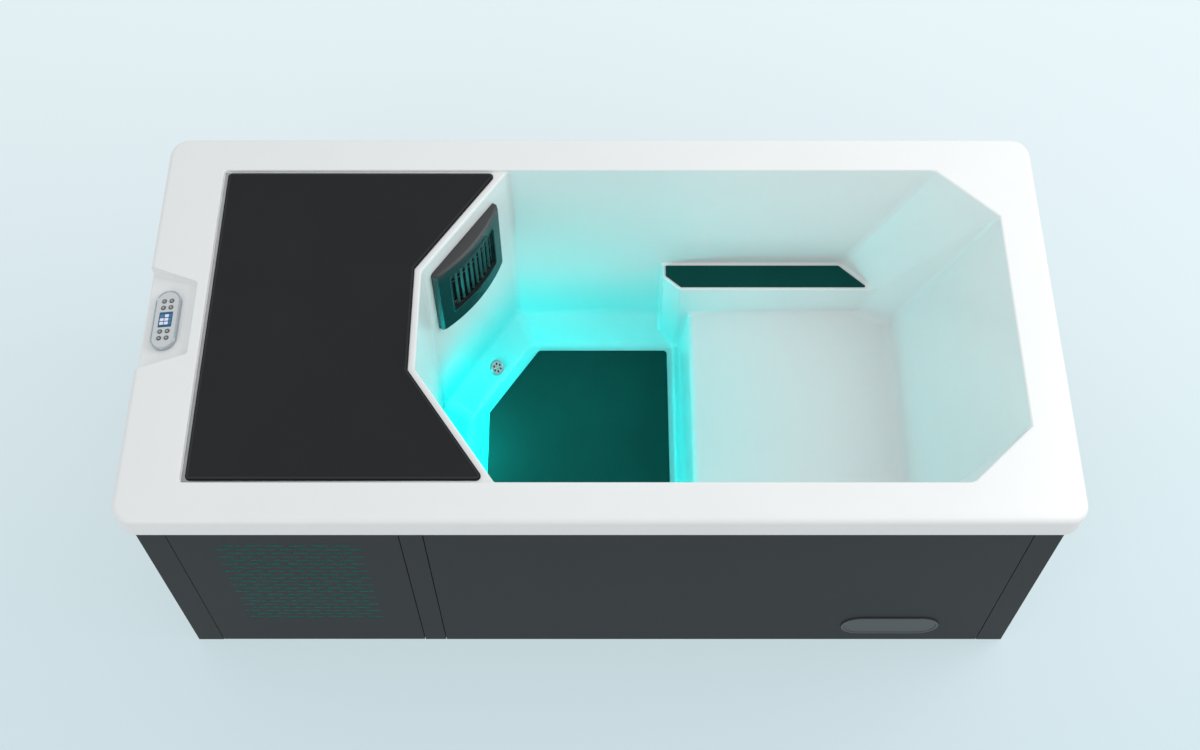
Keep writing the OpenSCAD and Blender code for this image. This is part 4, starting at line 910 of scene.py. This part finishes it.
def fitting_trim(bm):
    turned(bm, [(20.5, 0.05), (20.5, 0.8), (19.6, 3.0), (18.2, 4.2), (16.6, 4.2), (15.6, 3.2), (15.4, 0.05),
                (20.5, 0.05)])


def fitting_hub(bm):
    turned(bm, [(0, 5.2), (2.6, 4.9), (4.0, 4.0), (4.4, 2.6), (0, 2.6)], 32)


def light_lens(bm):
    turned(bm, [(0, 5.5), (8, 5.45), (18, 5.1), (27, 4.4), (33, 3.5), (36, 2.6), (36, 0.2), (0, 0.2)])


def light_bezel(bm):
    turned(bm, [(45, 0.1), (45, 1.4), (43.5, 2.8), (40, 3.6), (37.2, 3.5), (36.2, 2.8), (36.2, 0.1),
                (45, 0.1)])


def return_jet():
    jet = softened("return_jet", "return_fitting", FITTING_CHROME_CYAN, 0.3, "chrome")
    jet.data.materials.append(JET_BORE)
    for face in jet.data.polygons:
        spot = FITTING_PLACE.inverted() @ face.center / MM
        if math.hypot(spot.x, spot.y) < JET_REACH and spot.z < JET_TOP:
            face.material_index = 1


return_jet()
drawn(fitting_trim, "return_trim", FITTING_CHROME_CYAN, slot="chrome", place=FITTING_PLACE)
drawn(fitting_hub, "return_hub", FITTING_CHROME_CYAN, slot="chrome", place=FITTING_PLACE)
drawn(light_lens, "light_lens", LENS, stands_for=["led_lens"], slot="lens", place=LIGHT_PLACE)
drawn(light_bezel, "light_bezel", SATIN, slot="chrome", place=LIGHT_PLACE)
softened("light_body", "led_housing", WHITE_ABS, 1.2, "white_plastic")

# %% [markdown]
# ## The cabinet
# Charcoal panels of foamed PVC close the frame. They are sawn and routed, so their edges have
# a radius of about a millimetre, and the open seams between them show as thin dark lines. The
# left panel at the front slides off for service, and its rows of slots let air reach the
# condenser. The slots are routed through the board, and their walls carry painted teal light.
# On the main panel a pill-shaped plate is left bare.

# %% Panels, posts and badge
# Painted teal light: the walls of the slots are drawn teal, for the light that skims them
SLOT_WALL_TEAL_LIGHT = grained("slot_wall_painted_teal_light", "#118F88", 0.6, 2.5, 0.15, 0.05, Specular_IOR_Level=0.35)
VENT_LOW, VENT_HIGH = Vector((-0.86, 0, 0.05)), Vector((-0.47, 0, 0.62))


def service_panel():
    panel = softened("service_panel", "access_panel", CABINET, 1.0, "cabinet", "access_door")
    panel.data.materials.append(SLOT_WALL_TEAL_LIGHT)
    for face in panel.data.polygons:
        in_vents = all(VENT_LOW[i] < face.center[i] < VENT_HIGH[i] for i in (0, 2))
        if in_vents and abs(face.normal.y) < 0.5:
            face.material_index = 1


service_panel()
PANELS = {"seam_strip": "front_mullion", "main_panel": "front_panel", "back_panel": "rear_panel",
          "control_end_panel": "left_end_panel", "head_end_panel": "right_end_panel",
          "cabinet_posts": "corner_posts"}
for name, node in PANELS.items():
    softened(name, node, CABINET, 1.0, "cabinet")
softened("plate_frame", "badge_bezel", BADGE_RIM_HIGHLIGHT, 1.0, "badge_frame")
softened("plate_face", "badge_lens", BADGE, 0.8, "badge_face")

# %% [markdown]
# ## The steel frame
# Square tubes with rolled corners carry the panels. Hexagon bolts with flanges hold them to
# the posts. The tubes are softened copies, and the bolts are prisms, because a hexagon is what
# tells the eye that it's a bolt.

# %% Prisms, rails and bolts
def prism(bm, sides, radius_mm, low_mm, high_mm, place=Matrix(), bevel_mm=0.6):
    middle = place @ at(0, 0, (low_mm + high_mm) / 2 * MM)
    radius, length = radius_mm * MM, (high_mm - low_mm) * MM
    made = set(bmesh.ops.create_cone(bm, cap_ends=True, segments=sides, radius1=radius, radius2=radius,
                                     depth=length, matrix=middle)["verts"])
    rim = [e for e in bm.edges if e.verts[0] in made and e.calc_face_angle(0) > math.radians(28)]
    rounded(bm, rim, bevel_mm, 2)


for name, node in (("long_sill_rails", "sill_rails"), ("short_sill_rails", "end_sill_rails"),
                   ("long_top_rails", "top_rails"), ("short_top_rails", "end_top_rails")):
    softened(name, node, STEEL_PAINT, 2.2, "frame_steel", segments=3)


BOLT_X, BOLT_Y, BOLT_HEIGHTS = 0.923, 0.425, (0.025, 0.656)


def bolts(bm):
    for z in BOLT_HEIGHTS:
        for sx in (-1, 1):
            for sy in (-1, 1):
                place = at(sx * BOLT_X, sy * BOLT_Y, z, 90 * sy, "X")
                prism(bm, 24, 6.4, 0, 1.2, place, 0.3)
                prism(bm, 6, 5.6, 1.0, 5.2, place, 0.5)
                prism(bm, 16, 2.95, -37, 0.5, place, 0.3)


drawn(bolts, "frame_bolt_set", ZINC, stands_for=["frame_bolts"], slot="zinc")
softened("drip_pan", "base_pan", PAN_HDPE, 2.5, "pan", segments=3)
softened("shell_support_foam", "support_foam", FOAM_BLOCK, 4, "foam", segments=3)

# %% [markdown]
# ## The condenser and its fan
# Air enters through the slots, passes a finned coil and leaves through a fan. The fins are
# aluminium with a blue-green water-shedding coat. They are thin plates, repeated over a hundred
# times, so each one has only six faces. Copper hairpins join the tubes at both ends. They are
# half rings, which a spin of 180 degrees makes from a circle.

# %% Condenser coil
# Aluminium with a water-shedding coat: a metal gloss under a blue-green tint
FIN_COAT = grained("fin_coat_blue_green", "#0C8C88", 0.35, 2.0, 0.02, 0.05, Metallic=0.3)
AIR_X, COIL_Y, AIR_Z = -669.5, -403, 290
COIL_HALF, COIL_HEIGHT, TUBE_PITCH, TUBE_FIRST = 188, 559, 70, 45
FIN_PITCH, FIN_SIZE = 3.05, Matrix.Diagonal((0.4 * MM, 36 * MM, 556 * MM, 1))


def condenser(bm):
    for i in range(-60, 61):
        place = at((AIR_X + FIN_PITCH * i) * MM, COIL_Y * MM, AIR_Z * MM)
        bmesh.ops.create_cube(bm, size=1.0, matrix=place @ FIN_SIZE)


def coil_frame(bm):
    for side in (-1, 1):
        bar(bm, (2.6, 39.6, COIL_HEIGHT), (AIR_X + side * (COIL_HALF + 0.5), COIL_Y, AIR_Z), 0.6)
        for y_mm in (-19, 19):
            bar(bm, (9, 1.4, COIL_HEIGHT), (AIR_X + side * (COIL_HALF - 3.5), COIL_Y + y_mm, AIR_Z), 0.4)


def hairpins(bm):
    rows = [TUBE_FIRST + TUBE_PITCH * i for i in range(8)]
    for side, lower_rows in ((-1, (0, 2, 4, 6)), (1, (1, 3, 5))):
        for i in lower_rows:
            x, y, z = (AIR_X + side * COIL_HALF) * MM, COIL_Y * MM, rows[i] * MM
            place = at(x, y, z, 90, "Y")
            ring = bmesh.ops.create_circle(bm, segments=14, radius=4.75 * MM, matrix=place)["verts"]
            loop = [e for e in bm.edges if e.verts[0] in ring]
            middle = (x, y, z + TUBE_PITCH / 2 * MM)
            bmesh.ops.spin(bm, geom=ring + loop, cent=middle, axis=(0, -side, 0), angle=math.pi, steps=14)
    ports = (rows[0] * MM, rows[-1] * MM)
    for z in ports:
        prism(bm, 20, 6.2, 0, 14, at((AIR_X + COIL_HALF) * MM, COIL_Y * MM, z, 90, "Y"), 0.8)
    for vert in bm.verts:
        over = abs(vert.co.x - AIR_X * MM) - COIL_HALF * MM
        if over > 0 and all(abs(vert.co.z - z) > 8 * MM for z in ports):
            vert.co.x -= math.copysign(over * 0.35, vert.co.x - AIR_X * MM)


drawn(condenser, "condenser_fins", FIN_COAT, stands_for=["condenser_coil"], slot="fins")
drawn(coil_frame, "condenser_end_plates", ZINC, slot="zinc")
drawn(hairpins, "condenser_hairpins", COPPER, slot="copper")
softened("fan_duct", "fan_shroud", BLACK_PAINT, 1.5, "black_steel")

# %% Fan: blades, guard and motor
FAN_PLACE = at(AIR_X * MM, -0.383, AIR_Z * MM, -90, "X")
HUB_RADIUS, BLADE_LENGTH, BLADE_MIDDLE, BLADE_HALF_HEIGHT = 31, 116, 27, 13.0


def fan_rotor(blades=5):
    bm = bmesh.new()
    turned(bm, [(0, 12.2), (28, 12.2), (33, 15), (35, 20), (35, 40), (33.5, 42), (5, 42), (5, 62), (0, 62)],
           48)
    for number in range(blades):
        made = bmesh.ops.create_grid(bm, x_segments=12, y_segments=8, size=1.0)["verts"]
        for vert in made:
            out, across = (vert.co.x + 1) / 2, vert.co.y
            radius = HUB_RADIUS + BLADE_LENGTH * out
            half_chord = 30 + 16 * math.sin(math.pi * min(1, out * 0.85 + 0.1))
            pitch = math.radians(44 - 20 * out)
            along = across * half_chord * math.cos(pitch)
            camber = 2.6 * (1 - across ** 2)
            angle = along / radius - 0.25 * out + math.tau * number / blades
            rise = across * half_chord * math.sin(pitch) * 0.62 + camber
            height = BLADE_MIDDLE + max(-BLADE_HALF_HEIGHT, min(BLADE_HALF_HEIGHT, rise))
            vert.co = Vector((radius * math.cos(angle), radius * math.sin(angle), height)) * MM
    bmesh.ops.remove_doubles(bm, verts=bm.verts, dist=0.01 * MM)
    bm.transform(FAN_PLACE)
    piece = finished("fan_rotor_blades", bm, NYLON, "fan_rotor", ["fan_blade"], "black_plastic", 40)
    wall = piece.modifiers.new("blade_wall", "SOLIDIFY")
    wall.thickness, wall.offset = 2.2 * MM, 0


def wire_ring(bm, radius_mm, z_mm, wire_mm, steps=72):
    place = at(radius_mm * MM, 0, z_mm * MM, 90, "X")
    made = bmesh.ops.create_circle(bm, segments=8, radius=wire_mm / 2 * MM, matrix=place)["verts"]
    loop = [e for e in bm.edges if e.verts[0] in made]
    spun(bm, made + loop, steps)


def fan_guard(bm):
    for radius_mm in range(52, 156, 12):
        wire_ring(bm, radius_mm, 54.4, 2.6)
    bmesh.ops.remove_doubles(bm, verts=bm.verts, dist=0.005 * MM)


def motor_cap(bm):
    turned(bm, [(42.5, 98), (44, 99), (44, 104), (42, 107), (30, 107.8), (14, 107.8), (13, 111),
                (0, 111.4)])
    for degrees in range(45, 360, 90):
        prism(bm, 6, 3.4, 107, 110, at(0, 0, 0, degrees) @ at(36 * MM, 0, 0), 0.4)


fan_rotor()
drawn(fan_guard, "fan_guard", ZINC, slot="zinc", place=FAN_PLACE)
softened("fan_motor_body", "fan_motor", MOTOR_PAINT, 1.8, "motor_grey")
drawn(motor_cap, "fan_motor_cap", ALUMINIUM, slot="zinc", place=FAN_PLACE)

# %% [markdown]
# ## The compressor and the heat exchanger
# The compressor is a drawn steel can, welded shut round its middle and painted black. It stands
# on rubber feet. Beside it, refrigerant and water meet in an upright exchanger, whose ports end
# in union nuts. The cans are softened copies. What they lack is added: the weld, the cover over
# the terminals, the clamp bands and the nuts.

# %% Compressor
COMPRESSOR_PLACE = at(-0.5605, -0.060, 0.032)


def compressor_details(bm):
    turned(bm, [(74.5, 128), (77.5, 129.5), (79, 132), (79, 136), (77.5, 138.5), (74.5, 140)])
    turned(bm, [(0, 229.5), (13, 229.6), (14, 233), (12.5, 236), (0, 236.4)], 32)
    for turn in (0.2, 1.8, 4.4):
        prism(bm, 24, 4.5, 222, 231.5, Matrix.Rotation(turn, 4, "Z") @ at(50 * MM, 0, 0), 0.8)


def terminal_cover(bm):
    bar(bm, (46, 20, 58), (0, -80, 176), 5)
    bar(bm, (30, 4, 8), (0, -91, 176), 1.5)


softened("compressor_can", "compressor", BLACK_PAINT, 2.0, "black_steel", segments=3)
drawn(compressor_details, "compressor_seam", BLACK_PAINT, slot="black_steel", place=COMPRESSOR_PLACE)
drawn(terminal_cover, "compressor_terminal_cover", NYLON, slot="black_plastic", place=COMPRESSOR_PLACE)
softened("compressor_feet", "compressor_mounts", RUBBER, 2.5, "black_rubber", segments=3)

# %% Heat exchanger with bands and union nuts
# Extruded PVC jacket, dyed blue-grey
EXCHANGER_SHELL = grained("exchanger_shell_pvc", "#3A4C5C", 0.4, 6, 0.05, 0.04)
EXCHANGER_PLACE = at(-0.800, 0.130, 0)
PUMP_PLACE = at(-0.5508, 0.2928, 0.090, -90, "Y")


def exchanger_bands(bm):
    for z_mm in (60, 235, 372):
        turned(bm, [(64.5, z_mm - 7), (66.4, z_mm - 7), (66.4, z_mm + 7), (64.5, z_mm + 7)])
    for z_mm in (60, 235, 372):
        bar(bm, (18, 9, 13), (48, -50, z_mm), 1.2)


def union_nuts(bm):
    for turn, z_mm, radius_mm, end_mm in ((90, 330, 21, 86), (180, 60, 20, 76)):
        outward = EXCHANGER_PLACE @ at(0, 0, z_mm * MM, turn) @ at(0, 0, 0, 90, "Y")
        prism(bm, 8, radius_mm, 68, end_mm, outward, 1.2)
    prism(bm, 8, 21, -8, 16, PUMP_PLACE, 1.2)
    prism(bm, 8, 21, 70, 92, PUMP_PLACE @ at(0, 0, 50 * MM, 90, "Y"), 1.2)


softened("exchanger_can", "heat_exchanger", EXCHANGER_SHELL, 2.5, "exchanger_shell", segments=3)
drawn(exchanger_bands, "exchanger_clamps", ZINC, slot="zinc", place=EXCHANGER_PLACE)
drawn(union_nuts, "union_nut_set", NYLON, slot="black_plastic")

# %% [markdown]
# ## The circulation pump
# A moulded wet end carries the impeller, and a finned motor hangs behind it. The fins are what
# makes it read as a motor, so thin bars stand round a softened copy, apart from its foot. Eight
# screws hold the wet end together.

# %% Pump
def motor_fins(bm, count=28):
    for number in range(count):
        turn = math.tau * (number + 0.5) / count
        # The side that the motor stands on has no fins
        if math.cos(turn) > -0.45:
            bar(bm, (7, 2.2, 116), (56, 0, 152), 0.7, Matrix.Rotation(turn, 4, "Z"))
    turned(bm, [(0, 229.2), (44, 229.2), (52, 226), (56.5, 218), (56.5, 212), (54.5, 211)])


def pump_screws(bm, count=8):
    for number in range(count):
        place = at(0, 0, 0, 360 * (number + 0.5) / count) @ at(59 * MM, 0, 0)
        prism(bm, 6, 3.6, 16.6, 20.5, place, 0.4)


def pump_ribs(bm):
    turned(bm, [(64.6, 44), (67.5, 45), (67.5, 55), (64.6, 56)])
    turned(bm, [(16, 19.8), (27, 19.8), (30, 17.6), (30, 14), (24, 12), (16, 12)])


softened("pump_wet_end", "pump_housing", NYLON, 3, "black_plastic", segments=3)
softened("pump_motor_body", "pump_motor", MOTOR_PAINT, 2, "motor_grey")
drawn(motor_fins, "pump_motor_fins", MOTOR_PAINT, slot="motor_grey", place=PUMP_PLACE)
drawn(pump_screws, "pump_screws", ZINC, slot="zinc", place=PUMP_PLACE)
drawn(pump_ribs, "pump_collars", NYLON, slot="black_plastic", place=PUMP_PLACE)
softened("impeller", "pump_impeller", IMPELLER_PPO, 0.8, "impeller", "pump_rotor")

# %% [markdown]
# ## Control box, gland and drain valve
# The electrics sit in a moulded box on the control end. Outside, the same end has two fittings
# within reach: a gland for the power cable, and a brass ball valve whose hose end sticks out
# through the panel. The valve's handle is a steel strip dipped in red vinyl.

# %% Control box
BOX_FACE = -863


def box_details(bm):
    for y_mm in (-208, 8):
        for z_mm in (312, 508):
            prism(bm, 20, 4.2, -0.5, 2.2, at(BOX_FACE * MM, y_mm * MM, z_mm * MM, 90, "Y"), 0.6)
    for z_mm in range(340, 400, 10):
        bar(bm, (1.6, 90, 4), (BOX_FACE + 0.4, -100, z_mm), 0.6)
    for y_mm in (-170, -130, -30):
        place = at(-0.913, y_mm * MM, 0.300, 180, "X")
        prism(bm, 6, 11, -0.5, 7, place, 1.0)
        prism(bm, 24, 7.5, 6, 15, place, 1.2)


softened("control_box_shell", "control_box", BOX_ABS, 3, "box_plastic", segments=3)
drawn(box_details, "control_box_fittings", NYLON, slot="black_plastic")

# %% Gland, valve and lever
GLAND_PLACE = at(-0.975, -0.150, 0.150, 90, "Y")
DRAIN_PLACE = at(-0.877, 0.130, 0.060, -90, "Y")


def gland(bm):
    turned(bm, [(5.5, -6), (8.8, -6), (11.2, -5), (12.6, -3), (13, -0.4), (10, -0.4), (10, 24), (5.5, 24),
                (5.5, -6)])


def gland_nuts(bm):
    for low, high in ((-2.6, -0.2), (12.2, 18)):
        prism(bm, 6, 14, low, high, bevel_mm=0.8)


def valve(bm):
    body = [(8, 0), (17, 0), (18.5, 1.5), (18.5, 12), (21.6, 15), (22, 26), (21.6, 37), (18.5, 40),
            (18.5, 50.5), (17, 52), (12, 52)]
    barbs = [(12, 98), (12.6, 98), (13.2, 99.5), (12.2, 103), (13.2, 104.2), (12.2, 108), (13.2, 109.2)]
    turned(bm, body + barbs + [(12, 114), (10.8, 116), (8, 116), (8, 0)])
    for low, high in ((1, 11), (41, 51)):
        prism(bm, 8, 21.5, low, high, bevel_mm=1.2)
    prism(bm, 20, 8.5, 20, 25.5, at(0, 0, 26 * MM, 90, "Y"), 1.0)


drawn(gland, "power_gland_body", NYLON, stands_for=["power_gland"], slot="black_plastic", place=GLAND_PLACE)
drawn(gland_nuts, "power_gland_nuts", NYLON, slot="black_plastic", place=GLAND_PLACE)
drawn(valve, "drain_valve_body", BRASS, stands_for=["drain_valve"], slot="brass", place=DRAIN_PLACE)
softened("drain_handle", "drain_lever", RED_VINYL, 1.3, "red_lever", "valve_lever", 3)

# %% [markdown]
# ## Parts that keep their engineering shape
# Pipes, refrigerant lines and the cable are round already. They keep their own mesh and only
# get a finish. The filter housing is nearly as plain, and gets soft edges besides.

# %% Finishes on the parts that stay
STAYING = {"water_pipes": PVC_PIPE, "copper_lines": COPPER, "vapour_line": RUBBER,
           "keypad_cable": CABLE_PVC}
for node, finish in STAYING.items():
    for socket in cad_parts[node].material_slots:
        socket.material = finish
softened("filter_tank", "filter_housing", WHITE_ABS, 2, "white_plastic")
print("kept", list(STAYING))
